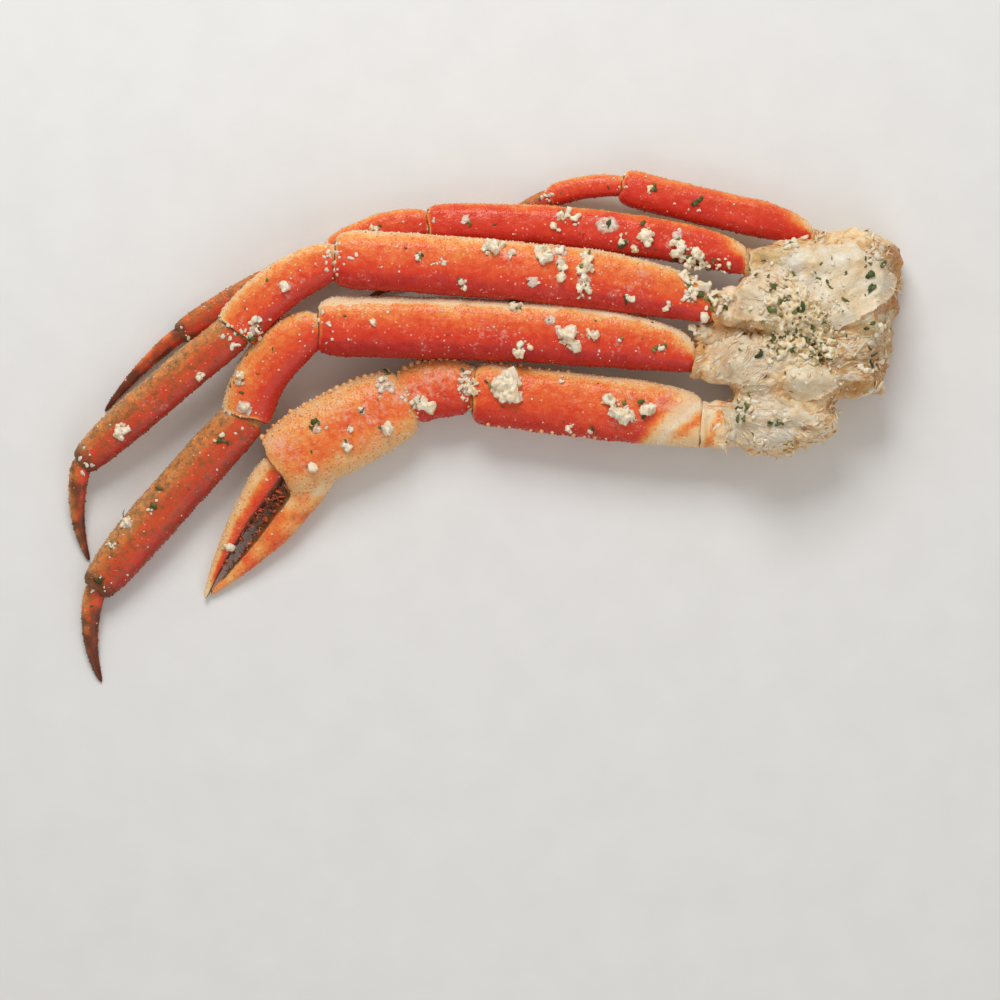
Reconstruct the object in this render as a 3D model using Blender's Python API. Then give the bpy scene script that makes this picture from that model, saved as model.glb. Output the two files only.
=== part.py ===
"""A cooked snow crab cluster: a shoulder that carries one claw arm and four walking legs.

Sizes are in millimetres and become metres when a mesh is made. +Z is up, the cluster lies on z = 0, and its legs
run from the shoulder, at +X, towards -X. Every limb is a chain of shell segments. Each is a lofted tube whose neck
sits in a socket of the segment before it, with a small gap all round. Garlic bits, herb flakes and spines are fused
to what they stand on.
"""

import math
import random

import bmesh
import bpy
from mathutils import Euler, Matrix, Vector, noise
from mathutils.bvhtree import BVHTree

MM = 0.001
UP = Vector((0, 0, 1))
GAP = 0.3  # clearance between two neighbouring pieces
FOOTPRINT_CENTRE = Vector((0.53, -9.91, 0))  # becomes the origin, so that the row stands on its own centre

SECTION_POWER = 2.3  # superellipse exponent of a shell's section: 2 is an ellipse
NECK_LENGTH = 3.6
NECK_SHARE = 0.86  # width of a neck, as a share of the width where its segment starts

# Joints of each limb, from the shoulder outwards. A segment's three widths are those at its start, at its fullest
# and at its end, seen from above. bow is how far its middle stands off the straight line between its joints,
# towards its back edge. flatness is a section's height over its width.
LIMBS = {
    "claw": {
        "base": (87, -9.2, 15.5), "hip": (72.6, -9.2, 15), "knee": (-3.2, 1.8, 12.5),
        "ankle": (-26, -0.6, 9.5), "wrist": (-70.5, -23.6, 8), "tip": (-94.5, -67.4, 2.2),
        "ischium": (15, 15.6, 16.5), "merus": (15.5, 21.4, 15.5), "carpus": (12.5, 20, 16),
        "palm": (19, 28, 20), "finger": (9.6, 10.4, 1.2),
        "bow": {"merus": -0.4, "carpus": 2.6, "palm": 0.6, "finger": 2.0},
        "flatness": 0.64, "sides": 12,
    },
    "leg1": {
        "base": (87, 9, 17), "hip": (70.6, 12.4, 17), "knee": (-55.6, 23.6, 17),
        "ankle": (-80.2, -6.6, 10.5), "wrist": (-131.6, -64.6, 5.2), "tip": (-130.2, -96, 0.7),
        "ischium": (12.5, 13, 12), "merus": (8, 20.4, 13), "carpus": (10.5, 17.6, 16.5),
        "propodus": (13.5, 16.2, 9.5), "dactyl": (6.6, 7, 1),
        "bow": {"merus": 1.7, "carpus": 5, "propodus": 0.8, "dactyl": 2.6},
        "flatness": 0.66, "sides": 12,
    },
    "leg2": {
        "base": (90.5, 31.2, 19), "hip": (76.6, 29.2, 19), "knee": (-50, 46, 21),
        "ankle": (-83, 22.6, 16.5), "wrist": (-136, -22.2, 8), "tip": (-134.4, -54.6, 0.8),
        "ischium": (12, 12.6, 11.5), "merus": (8.6, 19.6, 13), "carpus": (10.5, 15.8, 14.8),
        "propodus": (11.8, 13.6, 8), "dactyl": (6.2, 6.6, 1),
        "bow": {"merus": 2.0, "carpus": 3.2, "propodus": 0.6, "dactyl": 2.6},
        "flatness": 0.66, "sides": 12,
    },
    "leg3": {
        "base": (99, 45.3, 17), "hip": (87.6, 45.2, 17), "knee": (-18.8, 58.2, 11.4),
        "ankle": (-50.5, 48.3, 7.2), "wrist": (-103, 21.6, 4), "tip": (-128.4, -4, 0.7),
        "ischium": (9, 9.8, 9.2), "merus": (8.4, 14, 10.5), "carpus": (8.2, 12, 11),
        "propodus": (9.4, 10.6, 6.6), "dactyl": (5.2, 5.4, 0.9),
        "bow": {"merus": 3.4, "carpus": 2.6, "propodus": 1.2, "dactyl": 1.2},
        "flatness": 0.66, "sides": 10,
    },
    "leg4": {
        "base": (121, 51, 14), "hip": (110, 53.6, 13.5), "knee": (46.6, 71.4, 9.5),
        "ankle": (22.2, 67.8, 5.4), "wrist": (-14.4, 45, 2.9), "tip": (-40, 33.5, 0.6),
        "ischium": (6, 6.8, 6.4), "merus": (5, 12.4, 7.6), "carpus": (6.2, 7.8, 6),
        "propodus": (5.6, 6.6, 4.4), "dactyl": (3.8, 4.2, 0.8),
        "bow": {"merus": -0.6, "carpus": 1.5, "propodus": 0.6, "dactyl": 0.8},
        "flatness": 0.72, "sides": 10,
    },
}
JOINTS = ("base", "hip", "knee", "ankle", "wrist", "tip")
LEG_KINDS = ("ischium", "merus", "carpus", "propodus", "dactyl")
CLAW_KINDS = ("ischium", "merus", "carpus", "palm", "finger")

# How each kind of segment swells and closes: the share of its length that each takes, and the rings there and
# between. lean is how much of the swelling goes to the back edge: with 1 the front edge stays straight. blunt is
# how round the closing end is: 1 is a quarter circle, 0 a straight taper.
RUN = {
    "ischium": {"fill": 0.5, "close": 0.5, "rings": (1, 0, 1), "lean": 0, "blunt": 1},
    "merus": {"fill": 0.36, "close": 0.07, "rings": (3, 3, 2), "lean": 0.8, "blunt": 1},
    "carpus": {"fill": 0.5, "close": 0.2, "rings": (3, 1, 2), "lean": 0, "blunt": 1},
    "propodus": {"fill": 0.14, "close": 0.45, "rings": (1, 1, 3), "lean": 0, "blunt": 1},
    "dactyl": {"fill": 0.15, "close": 0.85, "rings": (1, 0, 4), "lean": 0, "blunt": 0.35},
    "palm": {"fill": 0.45, "close": 0.5, "rings": (3, 1, 3), "lean": 0, "blunt": 1},
    "finger": {"fill": 0.15, "close": 0.85, "rings": (1, 0, 5), "lean": 0, "blunt": 0.1},
    "lobe": {"fill": 0.5, "close": 0.3, "rings": (3, 1, 2), "lean": 0, "blunt": 1},
}
# The fixed finger is one with the palm, and starts inside it.
FIXED_FINGER = {"start": (-56, -27, 7.2), "end": (-92.4, -66.4, 1.8), "widths": (13.5, 13, 1.4), "bow": -1.6,
                "sides": 10}

# The shoulder is a lobe of meat behind each limb, from its base to the side that was torn from the body.
# Each lobe has its far end, its three widths and its height over its width.
LOBES = {
    "claw": ((116, -0.5, 12), (17, 25, 18), 1.2),
    "leg1": ((139, 16, 13.5), (17, 27, 20), 1.2),
    "leg2": ((145, 28, 14), (16, 27, 22), 1.25),
    "leg3": ((145, 37, 13.5), (12, 20, 18), 1.45),
    "leg4": ((141, 44, 11.5), (8, 13, 11), 1.6),
}
LOBE_SIDES = 16
LOBE_SINK = 2.5  # how far a lobe starts before the base of its limb
FLAP = {"near": (83, -12.5, 10), "far": (107, -15, 8), "half_width": 5, "half_height": 8}
TORN_SIDE = {"point": (136, 30, 15), "normal": (1, -0.12, 0.28)}  # beyond this plane the meat is gone
SHOULDER_VOXEL = 1.7
SHOULDER_SMOOTHING = 6
SHOULDER_RELIEF = 1.6
SHOULDER_TRIANGLES = 1500

# Spines of the claw arm: segment, edge (1 back, -1 front), where the row starts and ends, how many, height.
SPINES = (
    ("claw_palm", 1, 0.04, 0.96, 11, 1.3), ("claw_carpus", 1, 0.3, 0.92, 5, 1.4),
    ("claw_merus", 1, 0.8, 0.94, 3, 1.2), ("claw_merus", -1, 0.45, 0.92, 5, 1.1),
)

SPINE_SINK = 0.3

# Topping: segment, where along it, where across it (1 is the back edge), bits of garlic, flakes of herb, spread.
TOPPING = (
    ("claw_merus", 0.87, 0.42, 5, 1, 3.4), ("claw_merus", 0.46, 0.05, 1, 1, 2.0),
    ("claw_merus", 0.33, 0.0, 4, 1, 3.6), ("claw_merus", 0.22, -0.4, 1, 0, 1.0),
    ("claw_carpus", 0.25, 0.45, 1, 1, 2.0),
    ("claw_palm", 0.06, -0.3, 2, 0, 3.0), ("claw_palm", 0.2, -0.1, 1, 1, 2.5), ("claw_palm", 0.62, 0.3, 0, 1, 1.0),
    ("claw_palm", 0.72, -0.25, 1, 0, 2.0), ("claw_finger", 0.72, -0.1, 1, 0, 0.5),
    ("leg1_merus", 0.345, -0.2, 4, 0, 3.0), ("leg1_merus", 0.48, 0.7, 1, 1, 2.0),
    ("leg1_merus", 0.26, 0.0, 1, 0, 1.0), ("leg1_merus", 0.85, 0.05, 1, 0, 0.5), ("leg1_merus", 0.09, 0.6, 1, 1, 2.0),
    ("leg1_carpus", 0.62, 0.6, 1, 0, 0.8), ("leg1_carpus", 0.86, 0.0, 1, 0, 0.5),
    ("leg1_propodus", 0.08, 0.25, 2, 1, 2.0), ("leg1_propodus", 0.3, -0.1, 0, 1, 1.0),
    ("leg1_propodus", 0.68, 0.4, 1, 1, 2.0),
    ("leg2_merus", 0.57, 0.55, 3, 1, 3.0), ("leg2_merus", 0.475, 0.4, 2, 0, 1.4), ("leg2_merus", 0.415, 0.1, 3, 1, 3.0),
    ("leg2_merus", 0.34, 0.25, 2, 0, 2.4), ("leg2_merus", 0.36, -0.6, 1, 1, 2.0),
    ("leg2_merus", 0.08, 0.7, 3, 1, 3.2), ("leg2_merus", 0.06, -0.4, 2, 1, 3.0),
    ("leg2_carpus", 0.5, -0.4, 1, 0, 0.8), ("leg2_carpus", 0.9, -0.1, 1, 1, 2.0),
    ("leg2_propodus", 0.28, -0.5, 1, 1, 1.2), ("leg2_propodus", 0.72, 0.0, 2, 0, 1.8),
    ("leg3_merus", 0.62, 0.2, 2, 0, 1.6), ("leg3_merus", 0.53, -0.1, 1, 1, 1.0), ("leg3_merus", 0.44, -0.2, 2, 1, 2.0),
    ("leg3_merus", 0.24, 0.3, 1, 0, 0.5), ("leg3_merus", 0.08, 0.0, 1, 0, 1.4), ("leg3_carpus", 0.5, 0.2, 1, 0, 2.0),
    ("leg4_merus", 0.84, 0.2, 1, 1, 1.4),
)
GARLIC_SIZE = (1.2, 2.3)  # half the width of a bit of garlic, from the smallest to the largest
FLAKE_SIZE = (1.3, 2.3)  # half the length of a herb flake
FLAKE_THICKNESS = 0.6
SHOULDER_TOPPING = {"garlic": 8, "herbs": 8, "middle": (108, 20), "reach": (15, 17)}


def object_from(name, bm):
    """Turns a bmesh in millimetres into an object in metres, with its place in its mesh."""
    bmesh.ops.transform(bm, matrix=Matrix.Scale(MM, 4) @ Matrix.Translation(-FOOTPRINT_CENTRE), verts=bm.verts)
    mesh = bpy.data.meshes.new(name)
    bm.to_mesh(mesh)
    bm.free()
    obj = bpy.data.objects.new(name, mesh)
    bpy.context.scene.collection.objects.link(obj)
    return obj


def apply_modifiers(obj):
    graph = bpy.context.evaluated_depsgraph_get()
    mesh = bpy.data.meshes.new_from_object(obj.evaluated_get(graph))
    obj.modifiers.clear()
    old = obj.data
    obj.data = mesh
    bpy.data.meshes.remove(old)


def boolean(obj, others, operation):
    """Joins or cuts obj with a list of helper objects, then removes the helpers."""
    helpers = bpy.data.collections.new(obj.name + "_helpers")
    bpy.context.scene.collection.children.link(helpers)
    for other in others:
        bpy.context.scene.collection.objects.unlink(other)
        helpers.objects.link(other)
    modifier = obj.modifiers.new("fuse", "BOOLEAN")
    modifier.operation = operation
    modifier.solver = "MANIFOLD"
    modifier.operand_type = "COLLECTION"
    modifier.collection = helpers
    apply_modifiers(obj)
    for other in others:
        bpy.data.objects.remove(other)
    bpy.data.collections.remove(helpers)


def rounded(x):
    """A quarter circle that climbs from 0 at x = 0 to 1 at x = 1."""
    x = min(1.0, max(0.0, x))
    return math.sqrt(1 - (1 - x) ** 2)


class Segment:
    """One tube of shell between two joints: rings along a bowed line."""

    def __init__(self, kind, start, end, widths, bow, flatness, sides):
        self.run, self.sides = RUN[kind], sides
        self.start, self.end = Vector(start), Vector(end)
        self.widths, self.flatness = widths, flatness
        self.length = (self.end - self.start).length
        aside = (self.end - self.start).cross(UP).normalized()
        self.lean = self.run["lean"] * (widths[1] - widths[0]) / 2
        self.origin = self.start + aside * self.lean
        self.handle = (self.origin + self.end) / 2 + aside * (2 * bow)

    def heading(self, t):
        return ((self.handle - self.origin) * (1 - t) + (self.end - self.handle) * t).normalized()

    def axes(self, t):
        """Directions towards the back edge, and up out of the segment's flat side."""
        heading = self.heading(t)
        aside = heading.cross(UP).normalized()
        return aside, aside.cross(heading).normalized()

    def filled(self, t):
        """How far the segment has filled out at t, from 0 to 1."""
        return rounded(t / self.run["fill"])

    def half_width(self, t):
        first, full, last = self.widths
        x = min(1.0, max(0.0, (1 - t) / self.run["close"]))
        closed = x + (rounded(x) - x) * self.run["blunt"]
        return min(first + (full - first) * self.filled(t), last + (full - last) * closed) / 2

    def point(self, t):
        """Middle of the section at t, from 0 at the start to 1 at the end."""
        middle = self.origin * (1 - t) ** 2 + self.handle * (2 * t * (1 - t)) + self.end * t**2
        return middle - self.axes(t)[0] * self.lean * (1 - self.filled(t))

    def shares(self):
        """Where the rings stand: close together where the outline turns."""
        opening, middle, closing = self.run["rings"]
        fill, close = self.run["fill"], self.run["close"]
        turn = math.pi / 2
        places = [fill * (1 - math.cos(turn * i / opening)) for i in range(opening + 1)]
        places += [fill + (1 - close - fill) * i / (middle + 1) for i in range(1, middle + 1)]
        ends = [1 - close * (1 - math.cos(turn * i / closing)) for i in range(closing, -1, -1)]
        return places + [t for t in ends if t > places[-1] + 0.01]

    def section(self, t, angle, half, lift=0.0):
        """Offset from the middle line, where angle runs round the section from the back edge over the top."""
        aside, over = self.axes(t)
        c, s = math.cos(angle), math.sin(angle)
        power = 2 / SECTION_POWER
        across = math.copysign(abs(c) ** power, c) * half
        above = math.copysign(abs(s) ** power, s) * half * self.flatness
        return aside * (across + c * lift) + over * (above + s * lift)

    def on_top(self, t, across):
        """A point of the upper side, and the direction straight out of it; across is 1 at the back edge."""
        c = math.copysign(abs(across) ** (SECTION_POWER / 2), across)
        angle = math.acos(c)
        aside, over = self.axes(t)
        outwards = (aside * math.cos(angle) * self.flatness + over * math.sin(angle)).normalized()
        return self.point(t) + self.section(t, angle, self.half_width(t)), outwards

    def stations(self, swell):
        """Centre, half width and place along the segment of every ring, from the tip of the neck."""
        first = self.heading(0)
        neck = self.widths[0] / 2 * NECK_SHARE
        rows = [(self.start - first * (NECK_LENGTH + swell) * back, neck * share, 0.0)
                for back, share in ((1.0, 0.72), (0.2, 1.0))]
        for t in self.shares():
            shift = -first * swell * 0.5 if t == 0 else self.heading(1) * swell * (t == 1)
            rows.append((self.point(t) + shift, self.half_width(t), t))
        return rows

    def bmesh(self, swell=0.0):
        bm = bmesh.new()
        rings = []
        for centre, half, t in self.stations(swell):
            turn = 2 * math.pi / self.sides
            rings.append([bm.verts.new(centre + self.section(t, k * turn, half, swell)) for k in range(self.sides)])
        for near, far in zip(rings, rings[1:]):
            for k in range(self.sides):
                after = (k + 1) % self.sides
                bm.faces.new((near[k], near[after], far[after], far[k]))
        bm.faces.new(rings[0])
        bm.faces.new(rings[-1])
        bmesh.ops.recalc_face_normals(bm, faces=bm.faces)
        return bm


def all_segments():
    segments = {}
    for limb, data in LIMBS.items():
        kinds = CLAW_KINDS if limb == "claw" else LEG_KINDS
        for kind, start, end in zip(kinds, JOINTS, JOINTS[1:]):
            bow = data["bow"].get(kind, 0)
            segments[f"{limb}_{kind}"] = Segment(
                kind, data[start], data[end], data[kind], bow, data["flatness"], data["sides"])
    return segments


def cut_plane(obj, point, normal):
    """Takes off what lies beyond a plane, in millimetres of the row's frame, and closes the cut."""
    point, normal = Vector(point) * MM, Vector(normal)
    if max((v.co - point).dot(normal) for v in obj.data.vertices) < 1e-6:
        return
    bm = bmesh.new()
    bm.from_mesh(obj.data)
    geometry = bm.verts[:] + bm.edges[:] + bm.faces[:]
    cut = bmesh.ops.bisect_plane(bm, geom=geometry, plane_co=point, plane_no=normal, clear_outer=True)
    rim = [e for e in cut["geom_cut"] if isinstance(e, bmesh.types.BMEdge)]
    bmesh.ops.holes_fill(bm, edges=rim)
    bmesh.ops.recalc_face_normals(bm, faces=bm.faces)
    bm.to_mesh(obj.data)
    bm.free()


def cut_flat(obj):
    """Leaves a flat spot to rest on where a piece reaches the table."""
    cut_plane(obj, (0, 0, 0), (0, 0, -1))


def flap():
    """The loose flap of meat beside the claw arm."""
    near, far = Vector(FLAP["near"]), Vector(FLAP["far"])
    bm = bmesh.new()
    bmesh.ops.create_icosphere(bm, subdivisions=3, radius=1)
    turn = (far - near).to_track_quat("X", "Z").to_matrix().to_4x4()
    size = Matrix.Diagonal(((far - near).length / 2, FLAP["half_width"], FLAP["half_height"], 1))
    bmesh.ops.transform(bm, matrix=Matrix.Translation((near + far) / 2) @ turn @ size, verts=bm.verts)
    return object_from("flap", bm)


def lobe(limb):
    far, widths, flatness = LOBES[limb]
    base = Vector(LIMBS[limb]["base"])
    near = base - (Vector(far) - base).normalized() * LOBE_SINK
    return object_from("lobe", Segment("lobe", near, far, widths, 0, flatness, LOBE_SIDES).bmesh())


def shoulder_relief(at):
    """How far the shoulder's surface stands out at a point: strings of meat that run with the lobes, and lumps."""
    strings = noise.noise(Vector((at.x / 22, at.y / 4.5, at.z / 7)))
    lumps = noise.fractal(at / 9, 0.8, 2.1, 3)
    return SHOULDER_RELIEF * (0.9 * strings + 0.7 * lumps)


def make_shoulder():
    """Lobes joined by a voxel remesh, torn off on the body's side, roughened, then thinned to few triangles."""
    shoulder = lobe("leg1")
    shoulder.name = "shoulder"
    boolean(shoulder, [lobe(limb) for limb in LOBES if limb != "leg1"] + [flap()], "UNION")
    cut_plane(shoulder, Vector(TORN_SIDE["point"]) - FOOTPRINT_CENTRE, TORN_SIDE["normal"])

    remesh = shoulder.modifiers.new("remesh", "REMESH")
    remesh.mode = "VOXEL"
    remesh.voxel_size = SHOULDER_VOXEL * MM
    smooth = shoulder.modifiers.new("soften", "SMOOTH")
    smooth.iterations = SHOULDER_SMOOTHING
    apply_modifiers(shoulder)
    mesh = shoulder.data
    normals = [v.normal.copy() for v in mesh.vertices]
    for vertex, normal in zip(mesh.vertices, normals):
        vertex.co += normal * shoulder_relief(vertex.co / MM + FOOTPRINT_CENTRE) * MM
    thin = shoulder.modifiers.new("thin", "DECIMATE")
    thin.ratio = SHOULDER_TRIANGLES / (2 * len(mesh.polygons))
    apply_modifiers(shoulder)
    cut_flat(shoulder)
    return shoulder


def garlic_bit(at, outwards, size, dice):
    """An uneven crumb of garlic, sunk by a third of its height."""
    bm = bmesh.new()
    bmesh.ops.create_icosphere(bm, subdivisions=1, radius=size)
    for v in bm.verts:
        v.co *= dice.uniform(0.72, 1.12)
    size_by_axis = Matrix.Diagonal((dice.uniform(0.9, 1.3), dice.uniform(0.75, 1.1), dice.uniform(0.65, 0.9), 1))
    turn = Euler((dice.uniform(-0.5, 0.5), dice.uniform(-0.5, 0.5), dice.uniform(0, 6.28))).to_matrix().to_4x4()
    middle = at + outwards * size * 0.25
    bmesh.ops.transform(bm, matrix=Matrix.Translation(middle) @ turn @ size_by_axis, verts=bm.verts)
    return object_from("bit", bm)


def herb_flake(at, outwards, size, dice):
    """A small five-sided leaf flake that lies nearly flat."""
    bm = bmesh.new()
    rim = []
    for k in range(5):
        angle = 2 * math.pi * k / 5 + dice.uniform(-0.25, 0.25)
        reach = size * dice.uniform(0.7, 1.0)
        rim.append((math.cos(angle) * reach, math.sin(angle) * reach * 0.6))
    low = [bm.verts.new((x, y, -FLAKE_THICKNESS)) for x, y in rim]
    high = [bm.verts.new((x * 0.9, y * 0.9, FLAKE_THICKNESS / 2)) for x, y in rim]
    bm.faces.new(low[::-1])
    bm.faces.new(high)
    for k in range(5):
        after = (k + 1) % 5
        bm.faces.new((low[k], low[after], high[after], high[k]))
    spin = Matrix.Rotation(dice.uniform(0, 6.28), 4, "Z")
    turn = outwards.to_track_quat("Z", "X").to_matrix().to_4x4()
    bmesh.ops.transform(bm, matrix=Matrix.Translation(at) @ turn @ spin, verts=bm.verts)
    return object_from("flake", bm)


def spine(at, outwards, height):
    """A small cone, sunk a little into the shell."""
    bm = bmesh.new()
    bmesh.ops.create_cone(bm, cap_ends=True, segments=5, radius1=height * 0.75, radius2=height * 0.12, depth=height * 2)
    turn = outwards.to_track_quat("Z", "X").to_matrix().to_4x4()
    bmesh.ops.transform(bm, matrix=Matrix.Translation(at) @ turn, verts=bm.verts)
    return object_from("spine", bm)


def add_spines(segments, fused):
    for name, edge, first, last, count, height in SPINES:
        for i in range(count):
            t = first + (last - first) * i / (count - 1)
            at, outwards = segments[name].on_top(t, edge * 0.97)
            size = height * (1 if i % 2 else 0.8)
            fused[name].append(spine(at - outwards * SPINE_SINK, outwards, size))


def is_clear(name, at, reach, trees):
    """Whether a crumb of that reach stays clear of every piece but its own."""
    at = (at - FOOTPRINT_CENTRE) * MM
    for other, tree in trees.items():
        if other == name:
            continue
        near, outwards, _, distance = tree.find_nearest(at)
        if distance < (reach + GAP) * MM or (at - near).dot(outwards) < 0:
            return False
    return True


def add_topping(segments, fused, trees):
    """Garlic and herbs where each group lies on its segment."""
    dice = random.Random(7)
    for name, along, across, bits, flakes, spread in TOPPING:
        segment = segments[name]
        for i in range(bits + flakes):
            t = along + dice.gauss(0, 0.5) * spread / segment.length
            u = across + dice.gauss(0, 0.5) * spread / segment.half_width(along)
            at, outwards = segment.on_top(min(0.95, max(0.05, t)), min(0.9, max(-0.9, u)))
            is_garlic = i < bits
            size = dice.uniform(*(GARLIC_SIZE if is_garlic else FLAKE_SIZE))
            if not is_clear(name, at, size * 1.5, trees):
                continue
            make = garlic_bit if is_garlic else herb_flake
            fused[name].append(make(at, outwards, size, dice))


def add_shoulder_topping(shoulder, fused, trees):
    dice = random.Random(11)
    middle, reach = SHOULDER_TOPPING["middle"], SHOULDER_TOPPING["reach"]
    for i in range(SHOULDER_TOPPING["garlic"] + SHOULDER_TOPPING["herbs"]):
        x = (middle[0] + dice.gauss(0, 0.6) * reach[0] - FOOTPRINT_CENTRE.x) * MM
        y = (middle[1] + dice.gauss(0, 0.6) * reach[1] - FOOTPRINT_CENTRE.y) * MM
        hit, at, outwards, _ = shoulder.ray_cast(Vector((x, y, 0.1)), Vector((0, 0, -1)))
        is_garlic = i < SHOULDER_TOPPING["garlic"]
        size = dice.uniform(*(GARLIC_SIZE if is_garlic else FLAKE_SIZE))
        at = at / MM + FOOTPRINT_CENTRE
        if hit and is_clear("shoulder", at, size * 1.5, trees):
            make = garlic_bit if is_garlic else herb_flake
            fused["shoulder"].append(make(at, outwards, size, dice))


def material(name, colour, roughness):
    made = bpy.data.materials.new(name)
    made.use_nodes = True
    shader = made.node_tree.nodes["Principled BSDF"]
    shader.inputs["Base Color"].default_value = (*colour, 1)
    shader.inputs["Roughness"].default_value = roughness
    return made


def main():
    for obj in list(bpy.data.objects):
        bpy.data.objects.remove(obj)
    shell = material("orange_shell", (0.74, 0.13, 0.045), 0.32)
    flesh = material("cream_flesh", (0.86, 0.74, 0.56), 0.5)

    segments = all_segments()
    objects = {name: object_from(name, segment.bmesh()) for name, segment in segments.items()}
    objects["shoulder"] = make_shoulder()

    finger = Segment("finger", FIXED_FINGER["start"], FIXED_FINGER["end"], FIXED_FINGER["widths"],
                     FIXED_FINGER["bow"], LIMBS["claw"]["flatness"], FIXED_FINGER["sides"])
    fused = {name: [] for name in objects}
    fused["claw_palm"].append(object_from("fixed_finger", finger.bmesh()))
    graph = bpy.context.evaluated_depsgraph_get()
    trees = {name: BVHTree.FromObject(obj, graph) for name, obj in objects.items()}
    add_spines(segments, fused)
    add_topping(segments, fused, trees)
    add_shoulder_topping(objects["shoulder"], fused, trees)
    for name, extras in fused.items():
        if extras:
            boolean(objects[name], extras, "UNION")

    # Sockets: each piece is cut by the neck of the one that it carries.
    for limb in LIMBS:
        kinds = CLAW_KINDS if limb == "claw" else LEG_KINDS
        for inner, outer in zip(kinds, kinds[1:]):
            cutter = object_from("socket", segments[f"{limb}_{outer}"].bmesh(GAP))
            boolean(objects[f"{limb}_{inner}"], [cutter], "DIFFERENCE")
    cutters = [object_from("socket", segments[f"{limb}_ischium"].bmesh(GAP)) for limb in LIMBS]
    cutters.append(object_from("dent", segments["leg4_merus"].bmesh(GAP)))  # the last leg lies against the meat
    boolean(objects["shoulder"], cutters, "DIFFERENCE")

    for name, obj in objects.items():
        cut_flat(obj)
        obj.data.materials.clear()
        obj.data.materials.append(flesh if name == "shoulder" or name.endswith("ischium") else shell)


main()
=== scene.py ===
import math
import random
from contextlib import contextmanager

import bmesh
import bpy
import numpy as np
from mathutils import Matrix, Vector, noise
from mathutils.bvhtree import BVHTree
from mathutils.kdtree import KDTree


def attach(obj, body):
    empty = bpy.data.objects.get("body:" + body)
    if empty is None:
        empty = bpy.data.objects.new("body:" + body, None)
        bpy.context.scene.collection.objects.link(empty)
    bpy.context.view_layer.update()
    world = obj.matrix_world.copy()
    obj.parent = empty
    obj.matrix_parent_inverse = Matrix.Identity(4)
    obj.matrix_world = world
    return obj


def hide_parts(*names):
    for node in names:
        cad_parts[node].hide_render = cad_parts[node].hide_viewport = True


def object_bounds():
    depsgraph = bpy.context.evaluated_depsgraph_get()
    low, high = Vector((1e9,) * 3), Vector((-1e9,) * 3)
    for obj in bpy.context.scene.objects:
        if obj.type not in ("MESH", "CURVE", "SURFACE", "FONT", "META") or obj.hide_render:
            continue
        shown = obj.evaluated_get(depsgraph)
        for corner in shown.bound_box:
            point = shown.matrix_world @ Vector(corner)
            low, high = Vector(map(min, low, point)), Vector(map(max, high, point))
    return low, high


# A cooked snow crab cluster with garlic and herbs. Places are in millimetres of the cluster, as in the
# solids, and become metres of the row frame when a mesh is made.

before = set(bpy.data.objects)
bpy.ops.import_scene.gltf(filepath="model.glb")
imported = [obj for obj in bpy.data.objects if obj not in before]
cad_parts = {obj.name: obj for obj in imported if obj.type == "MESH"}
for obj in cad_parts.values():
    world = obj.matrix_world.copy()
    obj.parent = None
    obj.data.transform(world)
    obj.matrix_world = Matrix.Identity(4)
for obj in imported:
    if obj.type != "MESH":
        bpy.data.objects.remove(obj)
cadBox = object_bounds()
mm = 0.001
clusterCentre = np.array([0.53, -9.91, 0.0])  # the point of the cluster that is the row's origin
upward = np.array([0.0, 0.0, 1.0])


def toRow(points):
    return (np.asarray(points, float) - clusterCentre) * mm


def toCluster(points):
    return np.asarray(points, float) / mm + clusterCentre


# Nodes

class Wire:  # a node's output, on which ordinary arithmetic works
    def __init__(self, socket):
        self.socket, self.tree = socket, socket.id_data

    def also(self, name):  # another output of the same node
        return Wire(self.socket.node.outputs[name])

    def into(self, socket):
        self.tree.links.new(self.socket, socket)

    def __add__(self, other):
        return calc("ADD", self, other)

    def __radd__(self, other):
        return calc("ADD", other, self)

    def __sub__(self, other):
        return calc("SUBTRACT", self, other)

    def __rsub__(self, other):
        return calc("SUBTRACT", other, self)

    def __mul__(self, other):
        return calc("MULTIPLY", self, other)

    def __rmul__(self, other):
        return calc("MULTIPLY", other, self)


def put(tree, kind, inputs=None, output=0, **settings):  # adds a node, wires it up, gives one of its outputs
    made = tree.nodes.new(kind)
    for name, value in settings.items():
        setattr(made, name, value)
    for name, value in (inputs or {}).items():
        if isinstance(value, Wire):
            value.into(made.inputs[name])
        else:
            made.inputs[name].default_value = value
    return Wire(made.outputs[output])


def calc(operation, a, b=0.0, c=0.0):
    tree = next(value.tree for value in (a, b, c) if isinstance(value, Wire))
    return put(tree, "ShaderNodeMath", {0: a, 1: b, 2: c}, operation=operation)


def swung(middle, *parts):  # moved from the middle by each value's distance from a half, times its weight
    for value, weight in parts:
        middle = calc("MULTIPLY_ADD", value - 0.5, weight, middle)
    return middle


def fade(value, low, high):  # 0 at low, 1 at high, smooth between
    return put(value.tree, "ShaderNodeMapRange", {"Value": value, "From Min": low, "From Max": high},
               interpolation_type="SMOOTHSTEP")


def mixed(factor, a, b):
    if not isinstance(b, Wire):
        b = (*b, 1)
    return put(factor.tree, "ShaderNodeMix", {0: factor, 6: a, 7: b}, 2, data_type="RGBA")


def ramp(value, stops):
    made = put(value.tree, "ShaderNodeValToRGB", {0: value})
    steps = made.socket.node.color_ramp.elements
    while len(steps) < len(stops):
        steps.new(0.5)
    for step, (place, colour) in zip(steps, stops):
        step.position = place
        step.color = (*colour, 1)
    return made


def cloud(where, scale, detail=3.0, roughness=0.55, distortion=0.0):
    return put(where.tree, "ShaderNodeTexNoise", {"Vector": where, "Scale": scale, "Detail": detail,
                                                  "Roughness": roughness, "Distortion": distortion})


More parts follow.
